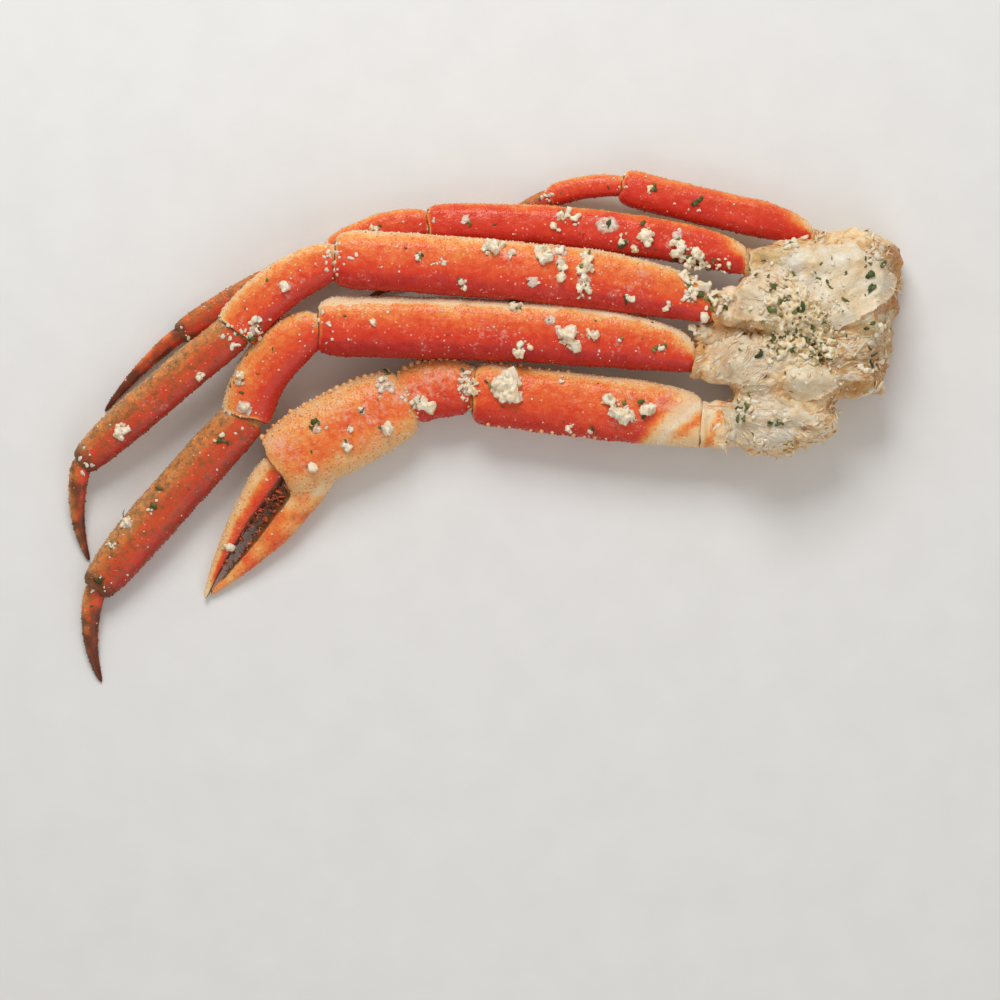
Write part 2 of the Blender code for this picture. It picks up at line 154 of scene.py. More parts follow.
def cells(where, scale, feature="F1"):
    return put(where.tree, "ShaderNodeTexVoronoi", {"Vector": where, "Scale": scale}, feature=feature)


def stored(where, name, output="Fac"):
    return put(where.tree, "ShaderNodeAttribute", output=output, attribute_name=name)


def stretched(where, scale):
    return put(where.tree, "ShaderNodeMapping", {"Vector": where, "Scale": scale, "Rotation": (0, 0, 0)})


def bumped(height, strength, depth):
    return put(height.tree, "ShaderNodeBump", {"Height": height, "Strength": strength, "Distance": depth})


def newMaterial(name, under=0.0, depth=0.001, radius=(1.0, 0.2, 0.1), shine=0.5):
    # under, depth and radius are the subsurface weight, scale and radius
    material = bpy.data.materials.new(name)
    material.use_nodes = True
    tree = material.node_tree
    shader = tree.nodes["Principled BSDF"].inputs
    if under:
        for label, value in (("Weight", under), ("Scale", depth), ("Radius", radius)):
            shader["Subsurface " + label].default_value = value
    shader["Specular IOR Level"].default_value = shine
    return material, shader, put(tree, "ShaderNodeTexCoord", output="Object")


def coat(shader, colour, roughness, normal):
    colour.into(shader["Base Color"])
    roughness.into(shader["Roughness"])
    normal.into(shader["Normal"])


def newTree(kind, name, inputs, output):  # inputs are a label, a kind of socket and perhaps a value
    tree = bpy.data.node_groups.new(name, kind)
    for label, socketKind, *value in inputs:
        socket = tree.interface.new_socket(label, in_out="INPUT", socket_type="NodeSocket" + socketKind)
        if value:
            socket.default_value = value[0]
    tree.interface.new_socket(output[0], in_out="OUTPUT", socket_type="NodeSocket" + output[1])
    given = {socket.name: Wire(socket) for socket in tree.nodes.new("NodeGroupInput").outputs if socket.name}
    return tree, given, tree.nodes.new("NodeGroupOutput").inputs[0]


# Effects that several materials share

def makeSpecksGroup():  # small round specks, only in some of the cells
    tree, given, out = newTree("ShaderNodeTree", "specks", [
        ("Vector", "Vector"), ("Scale", "Float", 800), ("Size", "Float", 0.25), ("Share", "Float", 0.5)],
        ("Mask", "Float"))
    cell = cells(given["Vector"], given["Scale"])
    picked = calc("LESS_THAN", put(tree, "ShaderNodeSeparateColor", {0: cell.also("Color")}), given["Share"])
    (fade(cell, given["Size"], given["Size"] * 0.6) * picked).into(out)
    return tree


def makeBlotchGroup():  # blotches of melted butter; on the shell they also stand for a painted sheen
    tree, given, out = newTree("ShaderNodeTree", "butterFilm", [
        ("Vector", "Vector"), ("Cover", "Float", 0.5)], ("Mask", "Float"))
    where = given["Vector"]
    wide, blots = cloud(where, 75, 2.0, 0.5), cloud(where, 400, 4.0, 0.66, 0.8)
    tiny = cloud(where, 900, 3.0, 0.6)
    low = 0.66 - given["Cover"] * 0.2
    fade(wide * 0.35 + (blots * 0.45 + tiny * 0.2), low, low + 0.12).into(out)
    return tree


def makeGrainGroup():  # fine uneven skin, as a height
    tree, given, out = newTree("ShaderNodeTree", "fineGrain", [
        ("Vector", "Vector"), ("Scale", "Float", 1500)], ("Height", "Float"))
    soft = cloud(given["Vector"], given["Scale"], 4.0, 0.6)
    coarse = cloud(given["Vector"], given["Scale"] * 0.3, 3.0, 0.5)
    (soft * 0.45 + coarse * 0.55).into(out)
    return tree


specksGroup = makeSpecksGroup()
blotchGroup = makeBlotchGroup()
grainGroup = makeGrainGroup()


def specks(where, scale, size, share):
    return put(where.tree, "ShaderNodeGroup", {"Vector": where, "Scale": scale, "Size": size, "Share": share},
               node_tree=specksGroup)


def butterFilm(where, cover):
    return put(where.tree, "ShaderNodeGroup", {"Vector": where, "Cover": cover}, node_tree=blotchGroup)


def grain(where, scale):
    return put(where.tree, "ShaderNodeGroup", {"Vector": where, "Scale": scale}, node_tree=grainGroup)


# Materials

shellTint = [  # the shell's colours by tint, from its deepest red to the cream of its edges
    (0.0, (0.46, 0.015, 0.009)), (0.18, (0.62, 0.028, 0.013)), (0.36, (0.73, 0.058, 0.020)),
    (0.50, (0.84, 0.135, 0.034)), (0.60, (0.89, 0.26, 0.058)), (0.70, (0.90, 0.42, 0.13)),
    (0.82, (0.89, 0.60, 0.31)), (1.0, (0.90, 0.76, 0.55)),
]
shellMarks = {"pore": (0.42, 0.022, 0.012), "dot": (0.72, 0.10, 0.035), "film": (0.88, 0.56, 0.44),
              "fleck": (0.9, 0.72, 0.56), "brown": (0.17, 0.065, 0.024), "darkBrown": (0.04, 0.016, 0.009)}

def makeShellMaterial():
    material, shader, where = newMaterial("crabShell", 0.04, 0.001, (1.0, 0.3, 0.15), 0.35)
    run = stored(where, "run", "Vector")
    tint, brown, top, grit = (stored(where, name) for name in ("tint", "brown", "top", "grit"))
    broad, mottle = cloud(where, 95, 2) - 0.5, cloud(where, 430, 4, 0.62) - 0.5
    fine, streak = cloud(where, 1700, 3, 0.6) - 0.5, cloud(stretched(run, (0.1, 1, 0.6)), 650, 3, 0.6) - 0.5
    change = broad * 0.24 + mottle * 0.36 + streak * 0.13 + fine * 0.2
    colour = ramp(tint + change * (1.0 - 0.5 * fade(tint, 0.66, 0.84)), shellTint)
    pores = specks(where, 1050, 0.26, 0.4) * fade(tint, 0.28, 0.5)
    colour = mixed(pores * 0.45, colour, shellMarks["pore"])
    border = fade(tint, 0.5, 0.66) * fade(tint, 0.84, 0.76)
    colour = mixed(specks(where, 760, 0.4, 0.55) * border * 0.6, colour, shellMarks["dot"])
    # a pinkish white film on the upward-facing shell: partly melted butter, partly painted sheen where the
    # light falls on the top
    film = butterFilm(where, 0.25 + top * 0.45) * fade(top, 0.1, 0.5)
    colour = mixed(film * 0.5, colour, shellMarks["film"])
    # pale flecks on the upward-facing shell: partly pale grains, partly painted glints
    flecks = specks(where, 800, 0.32, 0.24) * fade(broad, -0.1, 0.1) * fade(top, 0.15, 0.6)
    colour = mixed(flecks * 0.5, colour, shellMarks["fleck"])
    browns = ramp(brown, [(0.4, shellMarks["brown"]), (1.0, shellMarks["darkBrown"])])
    colour = mixed(fade(brown + mottle * 0.9, 0.25, 0.75) * 0.88, colour, browns)
    beads = fade(cells(where, 1350, "SMOOTH_F1"), 0.6, 0.1)
    height = grain(where, 1700) * 0.6 + beads * (0.14 + grit * 0.5) + (film + flecks) * 0.25
    coat(shader, colour, 0.27 + (mottle * 0.4 - film * 0.08), bumped(height, 0.65, 0.0004))
    return material


def makeMembraneMaterial():
    material, shader, where = newMaterial("jointMembrane", 0.1, 0.002, (1.0, 0.6, 0.4))
    patch = cloud(where, 260, 4, 0.6)
    colour = ramp(patch, [(0.32, (0.42, 0.14, 0.05)), (0.5, (0.70, 0.42, 0.22)), (0.7, (0.84, 0.68, 0.47))])
    wrinkles = cloud(stretched(where, (1, 1, 2.5)), 900, 3, 0.6, 0.8)
    coat(shader, colour, 0.3 + patch * 0.25, bumped(wrinkles, 0.6, 0.0004))
    return material


meatColours = {
    "flesh": [(0.25, (0.66, 0.34, 0.12)), (0.42, (0.84, 0.54, 0.26)), (0.56, (0.89, 0.66, 0.37)),
              (0.75, (0.93, 0.79, 0.55))],
    "sheet": [(0.25, (0.82, 0.53, 0.32)), (0.45, (0.87, 0.645, 0.425)), (0.6, (0.90, 0.72, 0.52)),
              (0.8, (0.93, 0.80, 0.655))],
    "crumb": [(0.3, (0.52, 0.30, 0.10)), (0.48, (0.72, 0.51, 0.26)), (0.66, (0.83, 0.68, 0.43))],
    # tan to brown of torn meat, also used as painted shade in hollows
    "torn": [(0.34, (0.36, 0.095, 0.010)), (0.5, (0.62, 0.25, 0.045)), (0.66, (0.76, 0.42, 0.13))],
    # near black: painted shade in small deep hollows and the crevice
    "pit": (0.16, 0.050, 0.014),
}

def makeMeatMaterial():
    material, shader, where = newMaterial("crabMeat", 0.32, 0.0025, (1.0, 0.6, 0.35))
    names = ("torn", "sheet", "rubble", "pit", "tone")
    torn, sheet, rubble, pit, tone = (stored(where, name) for name in names)
    broad, mottle, fine = cloud(where, 120, 3), cloud(where, 420, 4, 0.62), cloud(where, 1500, 3, 0.6)
    fibres = cloud(stretched(stored(where, "run", "Vector"), (0.14, 1.0, 0.8)), 1500, 3, 0.6, 0.5)
    colour = ramp(swung(0.52, (broad, 1.1), (fibres, 0.7), (mottle, 0.9), (tone, 0.3)), meatColours["flesh"])
    film = swung(0.54, (broad, 0.8), (mottle, 0.6), (fibres, 0.25), (tone, 0.3))
    uneven = (mottle - 0.5) * 0.5
    sheetish = fade(sheet + uneven, 0.2, 0.75)
    colour = mixed(sheetish * 0.85, colour, ramp(film, meatColours["sheet"]))
    colour = mixed(rubble * 0.75, colour, ramp(mottle, meatColours["crumb"]))
    # tan and brown where the meat is torn, and painted shade in its hollows
    wetAndShade = fade(torn + uneven * 2.0, 0.2, 0.8)
    colour = mixed(wetAndShade * 0.9, colour, ramp(fine * 0.3 + mottle * 0.7, meatColours["torn"]))
    # painted shade in small deep hollows and the crevice
    colour = mixed(pit, colour, meatColours["pit"])
    height = fibres * (1.4 - sheetish * 0.9) + (grain(where, 1300) * 0.4 + mottle)
    coat(shader, colour, 0.16 + mottle * 0.3 - wetAndShade * 0.06, bumped(height, 0.6, 0.0008))
    return material


def makeGarlicMaterial():
    material, shader, where = newMaterial("garlicCrumb", 0.45, 0.0012, (1.0, 0.75, 0.45))
    mottle = cloud(where, 800, 3, 0.6)
    colour = ramp(stored(where, "tone") * 0.45 + mottle * 0.75, [
        (0.25, (0.75, 0.50, 0.22)), (0.45, (0.87, 0.70, 0.45)), (0.65, (0.92, 0.81, 0.62)),
        (0.9, (0.94, 0.89, 0.77))])
    colour = mixed(specks(where, 420, 0.3, 0.12) * 0.5, colour, (0.2, 0.26, 0.06))
    coat(shader, colour, 0.1 + mottle * 0.3, bumped(grain(where, 2200), 0.9, 0.0006))
    return material


def makeHerbMaterial():
    material, shader, where = newMaterial("herbLeaf", 0.05, 0.001)
    veins = cloud(where, 1300, 3, 0.65)
    colour = ramp(stored(where, "tone") * 0.7 + veins * 0.4, [
        (0.15, (0.030, 0.042, 0.008)), (0.5, (0.070, 0.100, 0.016)), (0.8, (0.16, 0.19, 0.035)),
        (1.0, (0.30, 0.31, 0.10))])
    colour = mixed(butterFilm(where, 0.2) * 0.2, colour, (0.45, 0.46, 0.28))
    coat(shader, colour, 0.3 + veins * 0.3, bumped(veins, 0.6, 0.0003))
    return material


def makeButterMaterial():
    material, shader, where = newMaterial("butterSmear", 0.2, 0.0015, (1.0, 0.6, 0.45))
    patch = cloud(where, 600, 4, 0.68)
    colour = ramp(patch, [(0.34, (0.84, 0.40, 0.28)), (0.48, (0.90, 0.64, 0.50)), (0.62, (0.93, 0.85, 0.76))])
    coat(shader, colour, 0.12 + patch * 0.2, bumped(grain(where, 1700), 1.0, 0.0006))
    (fade(stored(where, "cover") + (patch - 0.5), 0.15, 1.0) * 0.85).into(shader["Alpha"])
    return material


def makeFloorMaterial():
    material, shader, where = newMaterial("paleFloor")
    speck = cloud(where, 60, 3)
    colour = ramp(speck, [(0.3, (0.80, 0.795, 0.785)), (0.7, (0.83, 0.825, 0.815))])
    coat(shader, colour, 0.6 + speck * 0.1, bumped(speck, 0.05, 0.0002))
    return material


crabShell = makeShellMaterial()
jointMembrane = makeMembraneMaterial()
crabMeat = makeMeatMaterial()
garlicCrumb = makeGarlicMaterial()
herbLeaf = makeHerbMaterial()
butterSmear = makeButterMaterial()
paleFloor = makeFloorMaterial()
print("materials made")


# Meshes

def newObject(name, data, shown=True):
    made = bpy.data.objects.new(name, data)
    if shown:
        bpy.context.scene.collection.objects.link(made)
    return made


def meshObject(name, points, faces, materials=(), edges=()):
    mesh = bpy.data.meshes.new(name)
    mesh.from_pydata(np.asarray(points, float).tolist(), edges, faces)
    mesh.validate()
    for material in materials:
        mesh.materials.append(material)
    return newObject(name, mesh)


def fromBmesh(name, bm, shown=False):
    mesh = bpy.data.meshes.new(name)
    bm.to_mesh(mesh)
    bm.free()
    return newObject(name, mesh, shown)


@contextmanager
def editing(mesh):
    bm = bmesh.new()
    bm.from_mesh(mesh)
    yield bm
    bm.to_mesh(mesh)
    bm.free()


def smoothed(made):
    made.data.polygons.foreach_set("use_smooth", [True] * len(made.data.polygons))
    return made


def onlyMaterial(made, material):
    made.data.materials.clear()
    made.data.materials.append(material)
    made.data.polygons.foreach_set("material_index", [0] * len(made.data.polygons))
    return smoothed(made)


def readAll(items, name, width=1):  # what every item of a mesh holds under a name
    flat = np.empty(len(items) * width, np.float32)
    items.foreach_get(name, flat)
    return flat.reshape(-1, width) if width > 1 else flat


def pointsOf(mesh):
    return readAll(mesh.vertices, "co", 3).astype(float)


def placesOf(made):
    return toCluster(pointsOf(made.data))


def normalsOf(mesh):
    return readAll(mesh.vertices, "normal", 3).astype(float)


def moveTo(made, places):
    made.data.vertices.foreach_set("co", toRow(places).astype(np.float32).reshape(-1))
    made.data.update()


def store(made, name, values):  # one number or one vector for each point
    values = np.asarray(values, np.float32)
    kind, field = ("FLOAT_VECTOR", "vector") if values.ndim == 2 else ("FLOAT", "value")
    attribute = made.data.attributes.get(name) or made.data.attributes.new(name, kind, "POINT")
    attribute.data.foreach_set(field, values.reshape(-1))


def storeSame(made, **values):
    for name, value in values.items():
        store(made, name, np.full(len(made.data.vertices), value))


def modify(made, kind, **settings):
    modifier = made.modifiers.new(kind.lower(), kind)
    for name, value in settings.items():
        setattr(modifier, name, value)
    return modifier


def bake(made):  # the evaluated object becomes a plain mesh
    graph = bpy.context.evaluated_depsgraph_get()
    mesh = bpy.data.meshes.new_from_object(made.evaluated_get(graph))
    made.modifiers.clear()
    old = made.data
    made.data = mesh
    mesh.name = made.name
    bpy.data.meshes.remove(old)


def gathered(name, objects):
    group = bpy.data.collections.new(name)
    for made in objects:
        for old in list(made.users_collection):
            old.objects.unlink(made)
        group.objects.link(made)
    return group


def combine(made, others, operation):
    helpers = gathered(made.name + "Helpers", others)
    bpy.context.scene.collection.children.link(helpers)
    modify(made, "BOOLEAN", operation=operation, solver="MANIFOLD", operand_type="COLLECTION",
           collection=helpers)
    bake(made)
    for other in others:
        bpy.data.objects.remove(other)
    bpy.data.collections.remove(helpers)


def reskin(made, voxel, smoothing):  # one even skin over everything in the mesh, softened where parts meet
    modify(made, "REMESH", mode="VOXEL", voxel_size=voxel * mm * 1)
    modify(made, "SMOOTH", iterations=smoothing)
    bake(made)


def cutPlane(made, point, normal):  # takes off what lies beyond a plane of the row frame, and closes the cut
    with editing(made.data) as bm:
        cut = bmesh.ops.bisect_plane(bm, geom=bm.verts[:] + bm.edges[:] + bm.faces[:], plane_co=point,
                                     plane_no=normal, clear_outer=True)
        bmesh.ops.holes_fill(bm, edges=[e for e in cut["geom_cut"] if isinstance(e, bmesh.types.BMEdge)])
        bmesh.ops.recalc_face_normals(bm, faces=bm.faces)


def fixNormals(mesh):
    with editing(mesh) as bm:
        bmesh.ops.recalc_face_normals(bm, faces=bm.faces)


def sharpen(mesh, degrees):  # edges that turn more than this stay sharp
    most = math.radians(degrees)
    with editing(mesh) as bm:
        for edge in bm.edges:
            if len(edge.link_faces) == 2 and edge.calc_face_angle(0) > most:
                edge.smooth = False


def nextTo(mesh):  # gives a rule that finds the mean of the points next to each point
    ends = np.empty(len(mesh.edges) * 2, np.int32)
    mesh.edges.foreach_get("vertices", ends)
    a, b, size = ends[0::2], ends[1::2], len(mesh.vertices)
    count = np.maximum(np.bincount(a, minlength=size) + np.bincount(b, minlength=size), 1)

    def mean(points):
        return np.stack([(np.bincount(a, points[b, k], size) + np.bincount(b, points[a, k], size)) / count
                         for k in range(3)], 1)

    return mean


def hollowness(made, rounds):  # how deep each point lies in a hollow, in millimetres, below 0 on crests
    points, mean = pointsOf(made.data), nextTo(made.data)
    soft = points
    for _ in range(rounds):
        soft = mean(soft)
    return np.sum((soft - points) * normalsOf(made.data), axis=1) / mm


def soften(mesh, weight, rounds):  # evens out the points, each by its own weight from 0 to 1
    points, mean = pointsOf(mesh), nextTo(mesh)
    for _ in range(rounds):
        points += (mean(points) - points) * weight[:, None] * 0.6
    mesh.vertices.foreach_set("co", points.astype(np.float32).reshape(-1))
    mesh.update()


def wave(*place):  # smooth noise from -1 to 1
    return noise.noise(Vector(place))


def roughly(points, size, seed=0):  # smooth noise at each point, of that size in millimetres
    shift = Vector((seed * 17.3, seed * 5.1, seed * 9.7))
    return np.array([noise.noise(Vector(p) / size + shift) for p in points])


def streaks(points, sizes, shift=0.0):  # smooth noise that is drawn out along the axes
    a, b, c = sizes
    return np.array([wave(x / a, y / b, z / c + shift) for x, y, z in points])


def step(value, low, high):
    x = np.clip((np.asarray(value, float) - low) / (high - low), 0, 1)
    return x * x * (3 - 2 * x)


def bell(value, middle, width):  # 1 at the middle, nearly 0 two widths from it
    return np.exp(-((value - middle) / width) ** 2)


def unit(v):
    return v / np.maximum(np.linalg.norm(v, axis=-1, keepdims=True), 1e-12)


# Limbs: the same joints and widths as the solids

limbs = {
    "claw": {
        "base": (87, -9.2, 15.5), "hip": (72.6, -9.2, 15), "knee": (-3.2, 1.8, 12.5),
        "ankle": (-26, -0.6, 9.5), "wrist": (-70.5, -23.6, 8), "tip": (-94.5, -67.4, 2.2),
        "ischium": (15, 15.6, 16.5), "merus": (15.5, 21.4, 15.5), "carpus": (12.5, 20, 16),
        "palm": (19, 28, 20), "finger": (9.6, 10.4, 1.2),
        "bow": {"merus": -0.4, "carpus": 2.6, "palm": 0.6, "finger": 2.0}, "flatness": 0.64,
    },
    "leg1": {
        "base": (87, 9, 17), "hip": (70.6, 12.4, 17), "knee": (-55.6, 23.6, 17),
        "ankle": (-80.2, -6.6, 10.5), "wrist": (-131.6, -64.6, 5.2), "tip": (-130.2, -96, 0.7),
        "ischium": (12.5, 13, 12), "merus": (8, 20.4, 13), "carpus": (10.5, 17.6, 16.5),
        "propodus": (13.5, 16.2, 9.5), "dactyl": (6.6, 7, 1),
        "bow": {"merus": 1.7, "carpus": 5, "propodus": 0.8, "dactyl": 2.6}, "flatness": 0.66,
    },
    "leg2": {
        "base": (90.5, 31.2, 19), "hip": (76.6, 29.2, 19), "knee": (-50, 46, 21),
        "ankle": (-83, 22.6, 16.5), "wrist": (-136, -22.2, 8), "tip": (-134.4, -54.6, 0.8),
        "ischium": (12, 12.6, 11.5), "merus": (8.6, 19.6, 13), "carpus": (10.5, 15.8, 14.8),
        "propodus": (11.8, 13.6, 8), "dactyl": (6.2, 6.6, 1),
        "bow": {"merus": 2.0, "carpus": 3.2, "propodus": 0.6, "dactyl": 2.6}, "flatness": 0.66,
    },
    "leg3": {
        "base": (99, 45.3, 17), "hip": (87.6, 45.2, 17), "knee": (-18.8, 58.2, 11.4),
        "ankle": (-50.5, 48.3, 7.2), "wrist": (-103, 21.6, 4), "tip": (-128.4, -4, 0.7),
        "ischium": (9, 9.8, 9.2), "merus": (8.4, 14, 10.5), "carpus": (8.2, 12, 11),
        "propodus": (9.4, 10.6, 6.6), "dactyl": (5.2, 5.4, 0.9),
        "bow": {"merus": 3.4, "carpus": 2.6, "propodus": 1.2, "dactyl": 1.2}, "flatness": 0.66,
    },
    "leg4": {
        "base": (121, 51, 14), "hip": (110, 53.6, 13.5), "knee": (46.6, 71.4, 9.5),
        "ankle": (22.2, 67.8, 5.4), "wrist": (-14.4, 45, 2.9), "tip": (-40, 33.5, 0.6),
        "ischium": (6, 6.8, 6.4), "merus": (5, 12.4, 7.6), "carpus": (6.2, 7.8, 6),
        "propodus": (5.6, 6.6, 4.4), "dactyl": (3.8, 4.2, 0.8),
        "bow": {"merus": -0.6, "carpus": 1.5, "propodus": 0.6, "dactyl": 0.8}, "flatness": 0.72,
    },
}
joints = ("base", "hip", "knee", "ankle", "wrist", "tip")
kindsOf = dict.fromkeys(limbs, ("ischium", "merus", "carpus", "propodus", "dactyl"))
kindsOf["claw"] = ("ischium", "merus", "carpus", "palm", "finger")
fillAndClose = {  # share of the length in which a segment fills out, and closes; lean; how blunt it ends
    "ischium": (0.5, 0.5, 0, 1), "merus": (0.36, 0.07, 0.8, 1), "carpus": (0.5, 0.2, 0, 1),
    "propodus": (0.14, 0.45, 0, 1), "dactyl": (0.15, 0.85, 0, 0.35), "palm": (0.45, 0.5, 0, 1),
    "finger": (0.15, 0.85, 0, 0.1), "lobe": (0.5, 0.3, 0, 1),
}
webLook = {  # where the fixed finger leaves the palm, and how the skin is softened there
    "place": (-58, -31, 9), "reach": (15, 9), "voxel": 0.45, "smoothing": 6, "rounds": 160,
}
fixedFinger = {"start": (-56, -27, 7.2), "end": (-92.4, -66.4, 1.8), "widths": (13.5, 13, 1.4), "bow": -1.6}
sectionPower = 2.3
neckLength = 3.6
neckShare = 0.86
gap = 0.3  # clearance between two neighbouring pieces, in millimetres

shellLook = {
    "ringStep": 0.8, "sides": 72, "ridge": 0.34, "groove": 0.3, "wobble": 0.3, "dents": 0.13,
    "roughEdge": 0.3, "lipIn": 0.9, "recess": 0.8, "wavyRim": 1.1,
}
# how much of the film each segment carries on its top: partly butter, partly painted sheen
butterAndSheenCover = {"palm": 1.4, "claw_merus": 1.15, "claw_carpus": 1.4, "leg1_merus": 0.95, "leg2_merus": 0.8,
               "leg3_merus": 0.6, "propodus": 0.65}


def squared(angle):  # across and above on a section that is one wide and one high
    c, s = np.cos(angle), np.sin(angle)
    power = 2 / sectionPower
    return np.sign(c) * np.abs(c) ** power, np.sign(s) * np.abs(s) ** power


def rounded(x):
    x = np.clip(x, 0, 1)
    return np.sqrt(1 - (1 - x) ** 2)


class Segment:
    def __init__(self, kind, start, end, widths, bow, flatness):
        self.kind = kind
        self.fill, self.close, lean, self.blunt = fillAndClose[kind]
        self.start, self.end = np.array(start, float), np.array(end, float)
        self.widths, self.flatness = widths, flatness
        self.length = float(np.linalg.norm(self.end - self.start))
        aside = unit(np.cross(self.end - self.start, upward))
        self.lean = lean * (widths[1] - widths[0]) / 2
        self.origin = self.start + aside * self.lean
        self.handle = (self.origin + self.end) / 2 + aside * (2 * bow)

    def heading(self, t):
        t = np.asarray(t, float)[..., None]
        return unit((self.handle - self.origin) * (1 - t) + (self.end - self.handle) * t)

    def axes(self, t):
        heading = self.heading(t)
        aside = unit(np.cross(heading, upward))
        return aside, unit(np.cross(aside, heading))

    def halfWidth(self, t):
        first, full, last = self.widths
        x = np.clip((1 - t) / self.close, 0, 1)
        closed = x + (rounded(x) - x) * self.blunt
        return np.minimum(first + (full - first) * rounded(t / self.fill), last + (full - last) * closed) / 2

    def middle(self, t):
        s = np.asarray(t, float)[..., None]
        line = self.origin * (1 - s) ** 2 + self.handle * (2 * s * (1 - s)) + self.end * s**2
        return line - self.axes(t)[0] * (self.lean * (1 - rounded(np.asarray(t) / self.fill)))[..., None]

    def stations(self, swell, spacing):
        back = np.linspace(1, 0, 7)
        neck = self.widths[0] / 2 * neckShare
        halves = np.interp(1 - back, (0, 0.8, 1), (neck * 0.72, neck, self.widths[0] / 2))
        first = self.heading(0.0)
        centres = [self.start - first * (neckLength + swell) * b for b in back[:-1]]
        t = np.linspace(0, 1, max(6, int(self.length / spacing)))
        turn = 1 - self.close * (1 - np.cos(np.linspace(0, math.pi / 2, 9)))
        begin = self.fill * (1 - np.cos(np.linspace(0, math.pi / 2, 9))[:5])
        t = np.unique(np.round(np.concatenate([t, turn, begin]), 5))
        t = t[np.concatenate([[True], np.diff(t) > 0.0015])]
        t[-1] = 1
        rings = self.middle(t)
        rings[-1] += self.heading(1.0) * swell
        rings[0] -= first * swell * 0.5
        return (np.vstack([centres, rings]), np.concatenate([halves[:-1], self.halfWidth(t)]),
                np.concatenate([-back[:-1] * neckLength / self.length, t]))

    def section(self, t, angle, half, lift=0.0):
        aside, over = self.axes(np.clip(t, 0, 1))
        across, above = squared(angle)
        across = across * half + np.cos(angle) * lift
        above = above * half * self.flatness + np.sin(angle) * lift
        return aside * across[..., None] + over * above[..., None]

    def onTop(self, t, across):
        t = np.asarray(float(t))
        angle = math.acos(math.copysign(abs(across) ** (sectionPower / 2), across))
        aside, over = self.axes(t)
        outwards = unit(aside * math.cos(angle) * self.flatness + over * math.sin(angle))
        return self.middle(t) + self.section(t, np.asarray(angle), self.halfWidth(t)), outwards


def allSegments():
    found = {}
    for limb, data in limbs.items():
        for kind, start, end in zip(kindsOf[limb], joints, joints[1:]):
            bow = data["bow"].get(kind, 0)
            found[f"{limb}_{kind}"] = Segment(kind, data[start], data[end], data[kind], bow, data["flatness"])
    return found


def tubeFaces(rings, sides):
    faces = []
    for i in range(rings - 1):
        a, b = i * sides, (i + 1) * sides
        faces += [(a + k, a + (k + 1) % sides, b + (k + 1) % sides, b + k) for k in range(sides)]
    near, far = rings * sides, rings * sides + 1
    last = (rings - 1) * sides
    faces += [((k + 1) % sides, k, near) for k in range(sides)]
    faces += [(last + k, last + (k + 1) % sides, far) for k in range(sides)]
    return faces


def plainTube(segment, swell, sides=40, spacing=1.6):  # a cutter, and the lobes of the shoulder
    centres, halves, t = segment.stations(swell, spacing)
    angle = np.arange(sides) * 2 * math.pi / sides
    tt, aa = np.meshgrid(t, angle, indexing="ij")
    points = centres[:, None, :] + segment.section(tt, aa, halves[:, None] * np.ones_like(aa), swell)
    points = np.vstack([points.reshape(-1, 3), centres[:1], centres[-1:]])
    made = meshObject("tube", toRow(points), tubeFaces(len(t), sides), [jointMembrane])
    fixNormals(made.data)
    return made


tintAcross = {  # tint from the front edge of a limb (-1) to its back edge (1), and how brown it is
    "leg1": ((-1, 0.04), (-0.62, 0.10), (-0.48, 0.24), (-0.2, 0.34), (0.0, 0.40), (0.35, 0.50), (0.58, 0.59),
             (0.70, 0.69), (0.77, 0.88), (1, 0.94)),
    "leg2": ((-1, 0.10), (-0.52, 0.20), (-0.38, 0.34), (-0.1, 0.42), (0.3, 0.50), (0.6, 0.57), (0.8, 0.66),
             (0.9, 0.76), (1, 0.86)),
    "leg3": ((-1, 0.07), (-0.45, 0.17), (-0.3, 0.28), (0.0, 0.34), (0.5, 0.43), (0.8, 0.52), (0.93, 0.63),
             (1, 0.76)),
    "leg4": ((-1, 0.14), (-0.4, 0.24), (0.2, 0.38), (0.6, 0.50), (0.8, 0.59), (1, 0.72)),
    "claw": ((-1, 0.18), (-0.5, 0.36), (0.0, 0.47), (0.4, 0.53), (0.7, 0.62), (0.82, 0.74), (1, 0.86)),
    "carpus": ((-1, 0.12), (-0.5, 0.32), (0.0, 0.46), (0.4, 0.53), (0.7, 0.62), (0.85, 0.71), (1, 0.80)),
    "propodus": ((-1, 0.08), (-0.75, 0.22), (-0.5, 0.36), (0.0, 0.44), (0.15, 0.46), (0.28, 0.58),
      (0.6, 0.65), (0.9, 0.70), (1, 0.72)),
    "palm": ((-1, 0.78), (-0.75, 0.74), (-0.55, 0.67), (-0.38, 0.57), (0.0, 0.54), (0.3, 0.56), (0.5, 0.62),
             (0.68, 0.69), (0.85, 0.76), (1, 0.80)),
    "finger": ((-1, 0.24), (-0.6, 0.30), (-0.2, 0.46), (0.08, 0.56), (0.22, 0.74), (1, 0.80)),
    "dactyl": ((-1, 0.25), (0.0, 0.45), (0.6, 0.60), (1, 0.66)),
    "ischium": ((-1, 0.84), (0.0, 0.90), (1, 0.94)),
}
duller = {"claw": 0.0, "leg1": 0.0, "leg2": 0.0, "leg3": 0.06, "leg4": 0.10}


